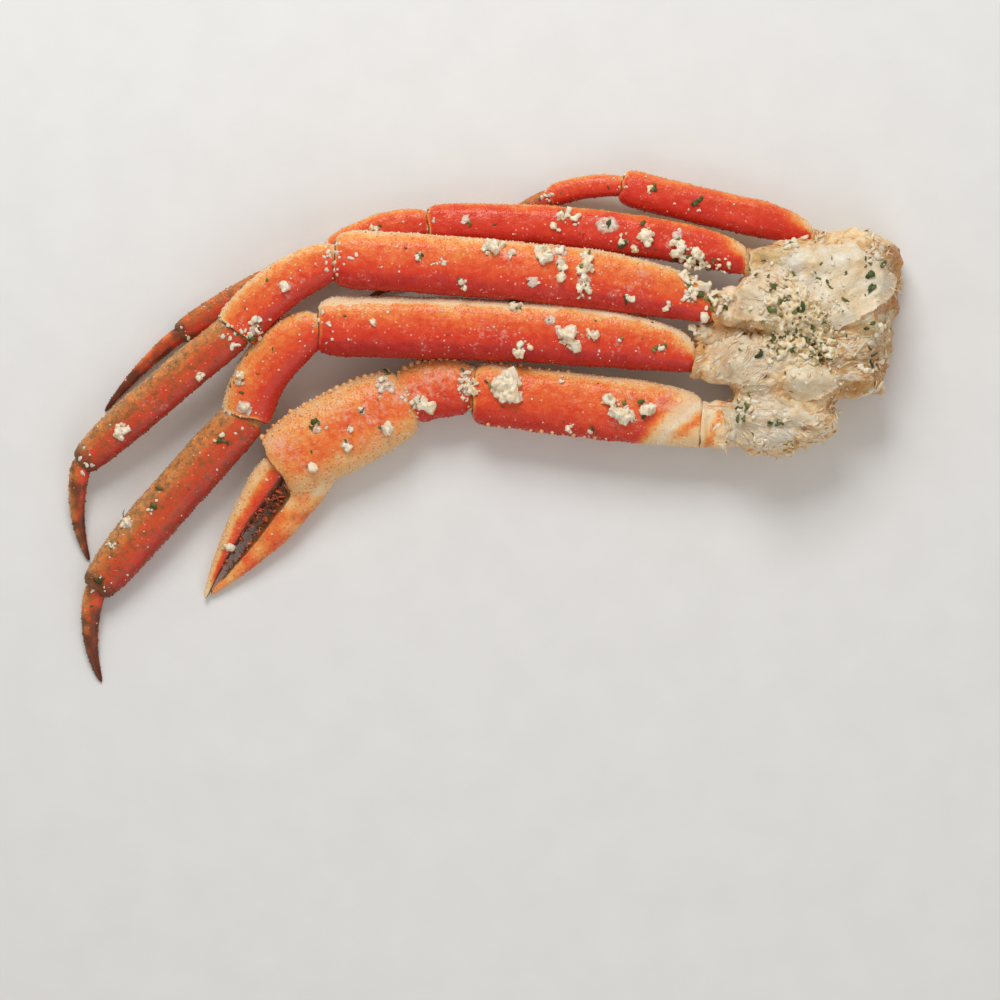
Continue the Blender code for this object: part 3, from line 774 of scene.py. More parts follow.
def paintShell(limb, segment, t, across, above, at):
    kind = segment.kind
    wander = 0.09 * roughly(at, 7, 3) + 0.06 * roughly(at, 2.2, 4)
    side = across + wander
    steps = tintAcross[limb if kind == "merus" else kind]
    tint = np.interp(side, [a for a, b in steps], [b for a, b in steps])
    toEnd = (1 - t) * segment.length
    fromStart = t * segment.length
    # legs 3 and 4 are darkened: painted shade, as they lie deeper, under the other legs
    if limb in ("leg3", "leg4"):
        tint = tint * 0.85
    brown = np.full(len(t), duller[limb])
    if kind not in ("dactyl", "finger"):
        rim = step(toEnd, 1.5, 0.5) * np.clip(0.45 + wander * 4, 0, 1)
        tint = tint + (0.86 - tint) * rim
        brown = np.maximum(brown, 0.8 * step(toEnd, 0.5, 0.05))
    tint = tint + (0.8 - tint) * 0.8 * step(fromStart, 0.8, -0.8)
    if kind == "merus":
        wrap = step(fromStart, 11, 0) * step(side, -0.3, 0.6)
        tint = tint + (0.9 - tint) * 0.85 * wrap
        if limb == "claw":
            bend = fromStart + 8 * across + 14 * wander
            tint = tint + (0.84 - tint) * step(bend, 15, 9)
            tint = tint + (1.0 - tint) * 0.9 * bell(bend, 6, 1.4)
            tint = tint - 0.26 * bell(bend, 1.5, 2.0) * step(np.abs(across), 1.0, 0.5)
    if kind == "palm":
        tint = tint + (0.68 - tint) * 0.7 * step(t, 0.84, 1.0)
    if kind == "ischium":
        tint = tint - 0.25 * bell(fromStart - 9 + 3 * across + 12 * wander, 0, 1.5)
    if kind == "finger":
        tint = tint + (0.88 - tint) * step(t, 0.80, 0.98)
        brown = np.maximum(brown, 0.9 * step(-side, 0.5, 0.8))
    if kind == "dactyl":
        brown = 0.52 + 0.3 * step(t, 0.2, 0.9) + 0.4 * roughly(at, 4, 9)
    # the whole propodus is browned, more towards its far end: painted shade, as the propodi lie in less light
    if kind == "propodus":
        brown = np.maximum(brown, 0.46 + 0.04 * step(side, 0.1, 0.4) + 0.3 * step(t, 0.92, 1.0))
    if kind in ("carpus", "propodus"):  # dark flecks where the thin outer parts were singed
        brown = np.maximum(brown, 0.6 * step(roughly(at, 1.8, 23), 0.42, 0.6) * step(side, 0.2, 0.8))
    under = step(-above + wander, 0.42, 0.85)  # the underside is pale
    tint = tint + (0.84 - tint) * 0.9 * under
    return np.clip(tint, 0, 1), np.clip(brown, 0, 1)


def fineShell(name, segment):
    limb = name.split("_")[0]
    look = shellLook
    narrow = segment.widths[2] < 2
    sides = look["sides"] if segment.widths[1] > 11 else 48
    centres, halves, t = segment.stations(0, look["ringStep"] * (1))
    ahead = segment.heading(1.0)
    end, base = centres[-1], halves[-1]
    if narrow:
        extra = [(0.35, base * 0.75), (0.55, base * 0.4)]
    else:  # a rolled lip, then a shallow hollow round the next segment's neck
        extra = [(0.18, base - 0.2), (0.2, base - 0.5), (-0.15, base - look["lipIn"]),
                 (-look["recess"], base - (look["lipIn"] + 0.5)),
                 (-look["recess"] * 0.8, base - (look["lipIn"] + 1.4))]
    centres = np.vstack([centres] + [end + ahead * a for a, b in extra])
    halves = np.concatenate([halves, [b for a, b in extra]])
    t = np.concatenate([t, [1.0] * len(extra)])
    angle = np.arange(sides) * 2 * math.pi / sides
    tt, aa = np.meshgrid(t, angle, indexing="ij")
    hh = halves[:, None] * np.ones_like(aa)
    offsets = segment.section(tt, aa, hh)
    at = centres[:, None, :] + offsets
    if not narrow:
        rise = [wave(1.5 * math.cos(a), 1.5 * math.sin(a), len(name) + segment.length)
                for a in angle]
        toEnd = step((1 - tt) * segment.length, 6, 0.5)
        at = at + (look["wavyRim"] * np.array(rise)[None, :] * toEnd)[..., None] * ahead
    across, above = squared(aa)
    aside, over = segment.axes(np.clip(tt, 0, 1))
    outwards = unit(aside * (np.cos(aa) * segment.flatness)[..., None] + over * np.sin(aa)[..., None])
    flat = at.reshape(-1, 3)
    body = (step(tt, 0.0, 0.05) * step((1 - tt) * segment.length, 0.2, 2.0)).reshape(-1)
    ac, ab, al = across.reshape(-1), above.reshape(-1), tt.reshape(-1)
    scale = min(1.0, segment.widths[1] / 14)
    uneven = np.clip(0.55 + 0.6 * roughly(flat, 14, 11) + 0.7 * roughly(flat, 4, 28), 0, 1.3)
    uneven = uneven * step(np.abs(ab), 0, 0.5)
    lift = look["wobble"] * roughly(flat, 9, 1) + look["dents"] * roughly(flat, 3, 2)
    lift += look["ridge"] * uneven * (bell(ac, 0.58, 0.13) + 0.8 * bell(ac, -0.45, 0.11))
    lift -= look["groove"] * uneven * bell(ac, 0.06, 0.28)
    edge = step(np.abs(ac), 0.72, 0.97)
    lift += look["roughEdge"] * edge * np.maximum(0, roughly(flat, 0.9, 5))
    if segment.kind == "ischium":
        lift += 1.1 * roughly(flat, 5, 7) - 0.8 * bell((1 - al) * segment.length, 3.2, 1.2)
    flat = flat + outwards.reshape(-1, 3) * (lift * body * scale)[:, None]
    tint, brown = paintShell(limb, segment, al, ac, ab, flat)
    inside = np.repeat(np.arange(len(t)) >= len(t) - (0 if narrow else 4), sides)
    brown = np.where(inside, 0.3, brown)
    tint = np.where(inside, 0.75, tint)
    points = np.vstack([flat, centres[:1], centres[-1:]])
    made = meshObject(name + "Shell", toRow(points), tubeFaces(len(t), sides), [crabShell, jointMembrane])
    fixNormals(made.data)
    grit = edge * 0.75 + 0.12 * step(ac, 0.3, 0.8) + 0.4 * bell(ac, 0.6, 0.12) + 0.03
    if limb == "claw":
        grit = grit + 0.12
    width = segment.widths[1] / 2
    run = np.stack([al * segment.length, ac * width, ab * width * segment.flatness], 1) * mm
    cover = butterAndSheenCover.get(f"{limb}_{segment.kind}", butterAndSheenCover.get(segment.kind, 0.5))
    cover = cover * (1.15 - 0.5 * al) if segment.kind == "merus" else cover
    values = {"tint": tint, "brown": brown, "top": np.clip(ab, 0, 1) * cover, "grit": grit * body, "run": run}
    marks = {key: np.concatenate([v, v[:1], v[-1:]]) for key, v in values.items()}
    return made, points, marks


def carryMarks(made, points, marks):  # each point takes the marks of the nearest point of the uncut shell
    tree = KDTree(len(points))
    for i, p in enumerate(toRow(points)):
        tree.insert(p, i)
    tree.balance()
    nearest = np.array([tree.find(v.co)[1] for v in made.data.vertices])
    for key, values in marks.items():
        store(made, key, values[nearest])


def buildShells(segments):
    shells = {}
    for name, segment in segments.items():
        limb, kind = name.split("_")
        made, points, marks = fineShell(name, segment)
        if name == "claw_palm":
            part, fingerPoints, fingerMarks = fineShell("claw_fixed", fixedPart)
            paintFixedFinger(fixedPart, fingerPoints, fingerMarks)
            combine(made, [part], "UNION")
            reskin(made, webLook["voxel"], webLook["smoothing"])
            web = np.linalg.norm(placesOf(made) - np.array(webLook["place"]), axis=1)
            soften(made.data, step(web, *webLook["reach"]), webLook["rounds"] // (1))
            points = np.vstack([points, fingerPoints])
            marks = {key: np.concatenate([marks[key], fingerMarks[key]]) for key in marks}
        if kind != kindsOf[limb][-1]:
            outer = kindsOf[limb][kindsOf[limb].index(kind) + 1]
            combine(made, [plainTube(segments[f"{limb}_{outer}"], gap)], "DIFFERENCE")
        if min(v.co.z for v in made.data.vertices) < 0:
            cutPlane(made, (0, 0, 0), (0, 0, -1))
        carryMarks(made, points, marks)
        if kind == "ischium" and limb != "claw":
            dressAsMeat(made, segment.length)
        if kind != "ischium":
            sharpen(made.data, 50)
        shells[name] = smoothed(made)
    return shells


def ellipse(at, place, sharp=1.0):  # 1 in the middle of an ellipse seen from above, fading to 0 near its rim
    x, y, rx, ry = place
    return np.exp(-sharp * (((at[:, 0] - x) / rx) ** 2 + ((at[:, 1] - y) / ry) ** 2))


def dressAsMeat(made, length):  # the short piece between shoulder and leg is bare meat, orange at its end
    onlyMaterial(made, crabMeat)
    at = placesOf(made)
    # hollows lose the white sheet and turn tan: painted shade
    hollow = step(hollowness(made, 12), 0.0, 0.35)
    run = readAll(made.data.attributes["run"].data, "vector", 3)
    ring = step(run[:, 0] / mm + 1.5 * roughly(at, 3, 32), length - 4.2, length - 2.2)
    store(made, "sheet", np.clip(0.5 + 0.6 * roughly(at, 5, 12), 0, 1) * (1 - hollow) * (1 - ring))
    store(made, "tone", np.clip(0.4 + 0.6 * roughly(at, 3, 13), 0, 1))
    torn = np.clip(0.1 + 0.4 * roughly(at, 4, 14) + 0.5 * hollow, 0, 0.9)
    store(made, "torn", np.maximum(np.maximum(torn, 0.6 * ring), tanAt(at)))


tanPlaces = [  # where the bare meat is tan to brown: place and half widths seen from above, how much
    (128, 10, 13, 11, 1.1), (130, 48.5, 8, 4.5, 0.85), (95, 46, 5.5, 5.5, 0.55), (140, 26, 3.0, 7, 0.8),
    (114, 17, 5, 3, 0.5), (78, 26, 3, 4, 0.5), (74, 6.5, 3.5, 3, 0.4), (103, 43, 3.5, 1.6, 0.6),
    (86, -17, 5, 2.5, 0.4), (107, 15.5, 4, 2.5, 0.5),
]


def tanAt(points):
    most = np.zeros(len(points))
    for *place, much in tanPlaces:
        most = np.maximum(most, much * ellipse(points, place, 0.8))
    return np.clip(most * (0.75 + 0.8 * roughly(points, 3, 29)), 0, 1)


def paintFixedFinger(finger, points, marks):
    along = np.clip((points - finger.start) @ unit(finger.end - finger.start) / finger.length, 0, 1)
    middle = finger.middle(along)
    aside = finger.axes(along)[0]
    across = np.sum((points - middle) * aside, axis=1) / np.maximum(finger.halfWidth(along), 0.3)
    base = 0.60 + 0.16 * step(along, 0.35, 0.0) + 0.12 * step(along, 0.7, 1.0)
    marks["tint"][:] = np.clip(base + 0.22 * roughly(points, 6, 5), 0, 1)
    # the inner face towards the movable finger is dark brown: partly its own brown, partly painted shade of
    # the gap between the fingers
    inner = 0.8 * step(across, 0.35, 0.7) * step(along, 1.0, 0.85)
    marks["brown"][:] = np.clip(np.maximum(inner, 0.16 + 0.5 * roughly(points, 5, 6)), 0, 1)


segments = allSegments()
fixedPart = Segment("finger", *fixedFinger.values(), limbs["claw"]["flatness"])
shells = buildShells(segments)
print("shells made:", len(shells), "pieces,", sum(len(s.data.polygons) for s in shells.values()), "faces")


# Shoulder

lobes = {  # far end, three widths, height over width
    "claw": ((116, -0.5, 12), (17, 25, 18), 1.2), "leg1": ((139, 16, 13.5), (17, 27, 20), 1.2),
    "leg2": ((145, 28, 14), (16, 27, 22), 1.25), "leg3": ((145, 37, 13.5), (12, 20, 18), 1.45),
    "leg4": ((141, 44, 11.5), (8, 13, 11), 1.6),
}
shoulderLook = {
    "lobeSink": 2.5, "voxel": 0.5, "smoothing": 60, "relief": 1.6, "fold": 0.7, "fine": 0.25, "crumb": 0.5,
    "lump": 0.75, "swell": 1.2,
    "tornPoint": (136, 30, 15), "tornNormal": (1, -0.12, 0.28),
    "lumps": [((83, -12.5, 10), (107, -15, 8), (5, 8)), ((70, 20.5, 14), (87, 21.5, 16), (4.8, 4.2)),
              ((82, 22, 14), (96, 25, 15), (4.5, 4.5))],
    "crease": 0.6,
    "bulges": [(108, 5, 7.5, 6, 1.6), (92, 36, 8, 6, 0.6), (97, -9, 7, 5, 0.8), (104.5, 48, 3.5, 2.6, 1.5),
               (124, 28, 8, 3, 1.0), (127, 5, 5, 4, 1.2), (88, 2, 5, 4, 0.8)],
    "hollows": [(129, 9.5, 8, 4.5, 3.2), (93.5, 6, 1.7, 1.1, 1.6), (90, 20.5, 1.2, 1.6, 1.3),
                (134, 19, 4, 2.5, 2.0)],
    "crevice": [(104.5, 24.5), (109.5, 18), (112.5, 11.5)], "creviceHalf": 1.5, "creviceDepth": 2.6,
    "sheet": (117, 38, 24, 13), "rubble": (103, 22, 12, 10), "fan": ((172, 24), 60),
}


def lobeSegment(limb):
    far, widths, flatness = lobes[limb]
    base = np.array(limbs[limb]["base"], float)
    near = base - unit(np.array(far, float) - base) * shoulderLook["lobeSink"]
    return Segment("lobe", near, far, widths, 0, flatness)


def roundLump(near, far, half):  # an ellipsoid from one end to the other
    near, far = Vector(near), Vector(far)
    bm = bmesh.new()
    bmesh.ops.create_icosphere(bm, subdivisions=4, radius=1)
    turn = (far - near).to_track_quat("X", "Z").to_matrix().to_4x4()
    size = Matrix.Diagonal(((far - near).length / 2, *half, 1))
    place = Matrix.Scale(mm, 4) @ Matrix.Translation((near + far) / 2 - Vector(clusterCentre))
    bmesh.ops.transform(bm, matrix=place @ turn @ size, verts=bm.verts)
    return fromBmesh("lump", bm, True)


def creased(u, v, z, seed):  # 1 along the clefts between bundles of fibres
    along = wave(u / 9, v / 2.6, z / 5 + seed)
    broken = wave(u / 5, v / 5, seed + 20.0)
    return math.exp(-(along / 0.075) ** 2) * float(step(broken, -0.15, 0.2))


def nearLine(at, line):  # distance to a line seen from above
    best = np.full(len(at), 1e9)
    for a, b in zip(line, line[1:]):
        a, b = np.array(a, float), np.array(b, float)
        u = np.clip((at[:, :2] - a) @ (b - a) / ((b - a) @ (b - a)), 0, 1)
        best = np.minimum(best, np.linalg.norm(at[:, :2] - a - u[:, None] * (b - a), axis=1))
    return best


def buildShoulder():
    look = shoulderLook
    made = plainTube(lobeSegment("leg1"), 0, 48, 1.5)
    made.name = "shoulderMeat"
    combine(made, [plainTube(lobeSegment(limb), 0, 48, 1.5) for limb in lobes if limb != "leg1"]
            + [roundLump(*lump) for lump in look["lumps"]], "UNION")
    cutPlane(made, toRow(look["tornPoint"]), look["tornNormal"])
    reskin(made, look["voxel"], look["smoothing"] // (1))
    points, normals = placesOf(made), normalsOf(made.data)
    strings = streaks(points, (22, 4.5, 7))
    lumps = np.array([noise.fractal(Vector(p) / 9, 0.8, 2.1, 3) for p in points])
    points = points + normals * (look["relief"] * (0.9 * strings + 0.7 * lumps))[:, None]
    facing = step(normals[:, 2], 0.05, 0.6)
    sheet = ellipse(points, look["sheet"], 0.9) * facing
    rubble = ellipse(points, look["rubble"], 0.9) * facing * (1 - 0.8 * sheet)
    run = fibreRun(points)
    folds, fine = streaks(run, (16, 3.2, 5)), streaks(run, (6, 1.1, 2), 40)
    loose = 1 - 0.8 * sheet
    lift = look["swell"] * roughly(points, 11, 30) + look["crumb"] * roughly(points, 1.9, 8) * rubble
    lift += (look["fold"] * folds + look["fine"] * fine + look["lump"] * roughly(points, 4.5, 9)) * loose
    lift -= look["crease"] * np.array([creased(u, v, z, 0.0) for u, v, z in run]) * loose
    for *place, height in look["bulges"]:
        lift += height * ellipse(points, place, 1.5) * facing
    # small deep hollows and the crevice are painted dark: painted shade
    pit = np.zeros(len(points))
    for *place, depth in look["hollows"]:
        there = ellipse(points, place, 1.2) * facing
        lift -= depth * there
        if place[2] < 3:
            pit = np.maximum(pit, there * 0.85)
    crack = np.exp(-(nearLine(points, look["crevice"]) / look["creviceHalf"]) ** 2) * facing
    lift -= look["creviceDepth"] * crack
    pit = np.maximum(pit, crack * 0.8)
    outOfTear = unit(np.array(look["tornNormal"], float))
    torn = step((points - np.array(look["tornPoint"])) @ outOfTear, -2.2, -0.6)
    torn = np.maximum(torn * (1 - ellipse(points, (137, 39.5, 7, 4.5))) * 0.8, tanAt(points))
    # surfaces that face down between x 118 and 132 take half of the tan
    torn = np.maximum(torn, 0.5 * step(-normals[:, 2], -0.1, 0.6) * step(points[:, 0], 118, 132))
    points = points + normals * lift[:, None]
    moveTo(made, points)
    # hollows lose the white sheet and turn tan: painted shade
    hollow = step(hollowness(made, 14), 0.02, 0.42)
    torn = np.clip(np.maximum(torn, 0.7 * hollow), 0, 1)
    sheet = sheet * (1 - 0.6 * hollow)
    combine(made, [plainTube(segments["leg4_merus"], gap)], "DIFFERENCE")
    cutPlane(made, (0, 0, 0), (0, 0, -1))
    tone = np.clip(0.4 + 0.3 * folds + 0.35 * roughly(points, 6, 16), 0, 1)
    marks = {"torn": torn, "sheet": sheet, "rubble": rubble, "pit": pit, "tone": tone, "run": run * mm}
    carryMarks(made, points, marks)
    return onlyMaterial(made, crabMeat)


def fibreRun(points):  # the meat's fibres fan out from the body's middle: along them, across them, upwards
    middle, reach = shoulderLook["fan"]
    aside, over = middle[0] - points[:, 0], points[:, 1] - middle[1]
    sway = 2.0 * roughly(points, 12, 31)
    return np.stack([np.hypot(aside, over) + sway, np.arctan2(over, aside) * reach + sway, points[:, 2]], 1)


shoulder = buildShoulder()
print("shoulder made:", len(shoulder.data.polygons), "faces")


# Ground for everything that lies on top

def treeOf(objects):
    points, faces, start = [], [], 0
    for made in objects:
        mesh = made.data
        points += [v.co.copy() for v in mesh.vertices]
        faces += [[start + i for i in p.vertices] for p in mesh.polygons]
        start += len(mesh.vertices)
    return BVHTree.FromPolygons(points, faces)


dropping = {"from": 0.1, "lowest": 0.001, "hidden": 0.0002}  # heights in metres


def layGround(*meats):  # the surface that things land on, and its bare meat
    joints = [made for name, made in shells.items() if name.endswith("ischium")]
    return treeOf([*shells.values(), *meats]), treeOf([*joints, *meats])


ground, bareMeat = layGround(shoulder)


def landing(x, y, onMeat=False):  # where something dropped at a place of the cluster lands, in the row frame
    spot = toRow((x, y, dropping["from"] / mm))
    hit, normal, _, _ = ground.ray_cast(Vector(spot), Vector((0, 0, -1)))
    if hit is None or hit.z < dropping["lowest"]:
        return None, None
    if onMeat:
        flesh = bareMeat.ray_cast(Vector(spot), Vector((0, 0, -1)))[0]
        if flesh is None or flesh.z < hit.z - dropping["hidden"]:
            return None, None
    return hit, normal


# Skins of the shoulder

skinLook = {"cell": 0.4, "ragged": 0.9, "fringe": 1.3, "thickness": 0.4, "curl": 1.1, "sink": 0.6,
            "fold": 0.5, "crease": 0.55}
skins = [  # outline from above, its free side, how smooth and how crumbly it is, which way its folds run
    ([(98, 46), (104, 50), (124, 51.5), (130, 46.5), (139, 40), (138, 34), (124, 24.5), (114, 20.5),
      (111, 28), (102, 38)], (0.9, -0.45), 1.0, 0.0, 28),
    ([(99, 14.5), (117, 17), (128, 21), (137, 19), (135, 16), (124, 13), (106, 9), (98, 10)], (0.3, -0.95),
      0.6, 0.2, 20),
    ([(99, 8), (107, 12), (115.5, 8.5), (118, 3), (112, -2), (104, -2.5), (99, 2)], (0.8, -0.6), 1.0, 0.0,
      -30),
    ([(92, 28), (98, 34), (108, 34), (114, 27), (118, 14), (110, 9), (100, 11), (92, 19)], (1, 0), 0.0, 1.0,
      0),
    ([(76.5, 8), (75.5, 12), (76.5, 18), (82, 20.5), (92, 21), (99, 15), (101, 7), (97, 3.5), (90, 3),
      (83, 3.5), (78.5, 5.5)], (-0.05, -0.5), 0.75, 0.1, 55),
    ([(83, 26), (84, 35), (90, 42), (99, 46), (108, 46), (113, 38), (109, 31), (103, 27), (94, 24)],
      (-0.9, -0.2), 0.9, 0.1, 160),
    ([(82, -15), (79.5, -3), (90, 1), (98, 0), (103, -7), (98, -14), (90, -17)], (-0.2, -0.5), 0.7, 0.15,
      -12),
    ([(88.6, 41), (89, 49.5), (97, 50.5), (104, 51), (106, 46), (100, 41), (94, 39.5)], (-0.9, 0.3), 0.3,
      0.4, 170),
    ([(90, -11), (100, -9), (109.5, -12.5), (104, -17.5), (95, -18.8), (88, -17)], (0.7, -0.7), 0.8, 0.0,
      -20),
    ([(98, -3), (108, -4.5), (116, -6.5), (111, -10), (102, -11), (97, -8)], (1, -0.3), 0.8, 0.0, 25),
    ([(118, 14), (126, 16), (134, 12), (134.5, 5), (130, 1), (123, -1), (118, 2.5), (115.5, 8)], (0.6, -0.8),
     0.2, 0.5, 15),
    ([(120, 52), (129, 51.8), (136, 46), (139.5, 41), (133, 43), (126, 47)], (0.6, 0.8), 0.2, 0.5, 35),
    ([(124, 25), (130, 27), (139, 30), (141, 21), (138, 13), (130, 10), (124, 12)], (1, -0.2), 0.2, 0.4, 5),
]
steepest = 0.0022  # a sheet tears where it would fall further than this from one point to the next
openings = [  # slits and holes in the skins: a line, and the distance it reaches
    ([(92.5, 5.5), (94.5, 6.5)], 1.2), ([(90, 19.5), (90, 21.5)], 0.9),
    ([(104.5, 24.5), (109.5, 18), (112.5, 11.5)], 0.6),
]


def inOutline(x, y, outline):
    inside = False
    for (ax, ay), (bx, by) in zip(outline, outline[1:] + outline[:1]):
        if (ay > y) != (by > y) and x < (bx - ax) * (y - ay) / (by - ay) + ax:
            inside = not inside
    return inside


def toOutline(x, y, outline):  # how far inside the outline a place is, negative outside
    gapTo = nearLine(np.array([[x, y]]), outline + outline[:1])[0]
    return gapTo if inOutline(x, y, outline) else -gapTo


def drape(name, patches, cell, thickness, material):
    # patches hold their bounds seen from above, a rule that gives a place its lift or None outside the patch,
    # and how far the sheet spans the hollows under it
    points, faces, patchOf = [], [], []
    cell *= 1
    for number, ((left, right, low, high), rule, bridge) in enumerate(patches):
        grid = {}
        for i in range(int((right - left) / cell) + 1):
            for j in range(int((high - low) / cell) + 1):
                x, y = left + i * cell, low + j * cell
                lift = rule(x, y)
                if lift is None:
                    continue
                hit = landing(x, y)[0]
                if hit is not None:
                    grid[i, j] = (hit.x, hit.y, hit.z, lift)
        for _ in range(bridge):
            grid = {(i, j): (x, y, max(z, sum(grid.get(k, (x, y, z))[2] for k in (
                (i + 1, j), (i - 1, j), (i, j + 1), (i, j - 1))) / 4), lift)
                    for (i, j), (x, y, z, lift) in grid.items()}
        grid = {key: (x, y, z + lift * mm) for key, (x, y, z, lift) in grid.items()}
        corners = {(i, j): [(i, j), (i + 1, j), (i + 1, j + 1), (i, j + 1)] for i, j in grid}
        whole = [four for four in corners.values() if all(key in grid for key in four)
                 and max(grid[k][2] for k in four) - min(grid[k][2] for k in four) < steepest]
        used = {key: len(points) + n for n, key in enumerate(sorted({key for four in whole for key in four}))}
        points += [grid[key] for key in used]
        patchOf += [number] * len(used)
        faces += [[used[key] for key in four] for four in whole]
    made = meshObject(name, points, faces, [material])
    store(made, "patch", patchOf)
    modify(made, "SMOOTH", iterations=2)
    modify(made, "SOLIDIFY", thickness=thickness * mm, offset=-1)
    bake(made)
    return smoothed(made)


def skinPatch(number, outline, free, smooth, crumbly, foldTurn):
    xs, ys = [p[0] for p in outline], [p[1] for p in outline]
    middle, reach = ((max(xs) + min(xs)) / 2, (max(ys) + min(ys)) / 2), (max(xs) - min(xs)) / 2
    c, s = math.cos(math.radians(foldTurn)), math.sin(math.radians(foldTurn))

    def rule(x, y):
        wander = wave(x / 3.4, y / 3.4, number * 7.0)
        wander += 0.4 * wave(x / 1.1, y / 1.1, number * 7.0)
        u, v, rough = x * c + y * s, y * c - x * s, 1 - 0.8 * smooth
        fringe = skinLook["fringe"] * (1.25 - smooth) * wave(u / 6, v / 1.2, number + 5.0)
        depth = toOutline(x, y, outline) + fringe
        depth = min([depth] + [nearLine(np.array([[x, y]]), line)[0] - far for line, far in openings])
        depth += skinLook["ragged"] * wander
        if depth < 0:
            return None
        loose = float(step(((x - middle[0]) * free[0] + (y - middle[1]) * free[1]) / reach, 0.1, 0.7))
        lumps = skinLook["fold"] * wave(u / 11, v / 2.8, number + 3.0)
        lumps += 0.7 * crumbly * wave(x / 1.5, y / 1.5, number)
        lumps += 0.8 * rough * wave(x / 3, y / 3, number + 9.0)
        lumps += 0.3 * rough * wave(u / 3, v / 0.9, number + 12.0)
        lumps -= skinLook["crease"] * (1.15 - 0.8 * smooth) * creased(u, v, 0, number * 3.0)
        lumps *= min(1.0, depth / 2.2) * (1 - loose) + loose
        held = -skinLook["sink"] + min(depth, 2.5) * 0.4
        risen = 0.25 + skinLook["curl"] * math.exp(-depth / 1.6)
        return lumps + held * (1 - loose) + risen * loose

    return (min(xs) - 2, max(xs) + 2, min(ys) - 2, max(ys) + 2), rule, int(12 + 48 * smooth)


def buildSkins():
    patches = [skinPatch(number, *skin) for number, skin in enumerate(skins)]
    made = drape("membraneSkins", patches, skinLook["cell"], skinLook["thickness"], crabMeat)
    at = placesOf(made)
    patch = readAll(made.data.attributes["patch"].data, "value")
    smooth, crumbly, turn = (np.array([skin[k] for skin in skins])[patch.astype(int)] for k in (2, 3, 4))
    c, s = np.cos(np.radians(turn)), np.sin(np.radians(turn))
    x, y, z = at.T
    store(made, "run", np.stack([x * c + y * s, y * c - x * s, z], 1) * mm)
    # hollows lose the white sheet and turn tan: painted shade
    hollow = step(hollowness(made, 10), 0.0, 0.3)
    tan = tanAt(at) * (1 - 0.85 * np.clip(smooth * 2 - 1, 0, 1))
    store(made, "sheet", np.clip(smooth * 1.1 - 0.4 * hollow + 0.3 * roughly(at, 6, 33) - tan, 0, 1))
    store(made, "rubble", crumbly)
    store(made, "torn", np.clip(np.maximum(tan, 0.5 * hollow + 0.25 * roughly(at, 4, 26)), 0, 1))
    store(made, "tone", np.clip(0.5 + roughly(at, 5, 21), 0, 1))
    return made


membraneSkins = buildSkins()
ground, bareMeat = layGround(shoulder, membraneSkins)
print("skins made:", len(membraneSkins.data.polygons), "faces")


# What repeats: one tree sets pieces on points

def grow(made, tree, **values):  # runs a geometry tree on an object, with its inputs set by name
    modifier = modify(made, "NODES", node_group=tree)
    ids = {item.name: item.identifier for item in tree.interface.items_tree if item.in_out == "INPUT"}
    for label, value in values.items():
        modifier[ids[label]] = value
    bake(made)
    return smoothed(made)


def named(tree, name, kind="FLOAT"):
    return put(tree, "GeometryNodeInputNamedAttribute", {"Name": name}, data_type=kind)


def randomValue(low, high, seed):
    made = put(seed.tree, "FunctionNodeRandomValue", {"Seed": seed}, data_type="FLOAT").socket.node
    ports = [s for s in made.inputs if s.enabled]
    ports[0].default_value, ports[1].default_value = low, high
    return Wire(next(s for s in made.outputs if s.enabled))


def finished(tree, shape, given, out):
    put(tree, "GeometryNodeSetMaterial", {0: shape, "Material": given["Material"]}).into(out)
    return tree


def makeScatterTree():  # sets a random one of the given pieces on each point, turned to its normal
    tree, given, out = newTree("GeometryNodeTree", "setOnPoints", [
        ("Geometry", "Geometry"), ("Pieces", "Collection"), ("Size", "Float", 1.0),
        ("Flatness", "Float", 1.0), ("Tilt", "Float", 0.3), ("Seed", "Int", 1), ("Material", "Material")],
        ("Geometry", "Geometry"))
    seed = given["Seed"]
    pieces = put(tree, "GeometryNodeCollectionInfo", {
        "Collection": given["Pieces"], "Separate Children": True, "Reset Children": True})
    turned = put(tree, "FunctionNodeAlignRotationToVector", {
        "Vector": named(tree, "outward", "FLOAT_VECTOR")}, axis="Z")
    spin = put(tree, "ShaderNodeCombineXYZ", {"Z": randomValue(0.0, 6.283, seed)})
    tip = put(tree, "ShaderNodeCombineXYZ", {"X": randomValue(-1.0, 1.0, seed + 3) * given["Tilt"],
                                             "Y": randomValue(-1.0, 1.0, seed + 4) * given["Tilt"]})
    for turn in (spin, tip):
        turned = put(tree, "FunctionNodeRotateRotation", {0: turned, 1: turn}, rotation_space="LOCAL")
    size = named(tree, "size") * given["Size"]
    sizes = put(tree, "ShaderNodeCombineXYZ", {"X": size, "Y": size, "Z": size * given["Flatness"]})
    placed = put(tree, "GeometryNodeInstanceOnPoints", {
        "Points": put(tree, "GeometryNodeMeshToPoints", {"Mesh": given["Geometry"]}), "Instance": pieces,
        "Pick Instance": True, "Rotation": turned, "Scale": sizes})
    toned = put(tree, "GeometryNodeStoreNamedAttribute", {
        "Geometry": placed, "Name": "tone", "Value": randomValue(0.0, 1.0, seed + 5)}, domain="INSTANCE")
    return finished(tree, put(tree, "GeometryNodeRealizeInstances", {0: toned}), given, out)


scatterTree = makeScatterTree()


def setPieces(name, rows, pieces, material, flatness=1.0, tilt=0.3, seed=1):
    # rows hold a point of the row frame, the direction out of the surface, and a size in millimetres
    made = meshObject(name, [tuple(row[0]) for row in rows], [])
    store(made, "outward", [tuple(row[1]) for row in rows])
    store(made, "size", [row[2] for row in rows])
    return grow(made, scatterTree, Pieces=pieces, Flatness=flatness, Tilt=tilt, Seed=seed, Material=material)


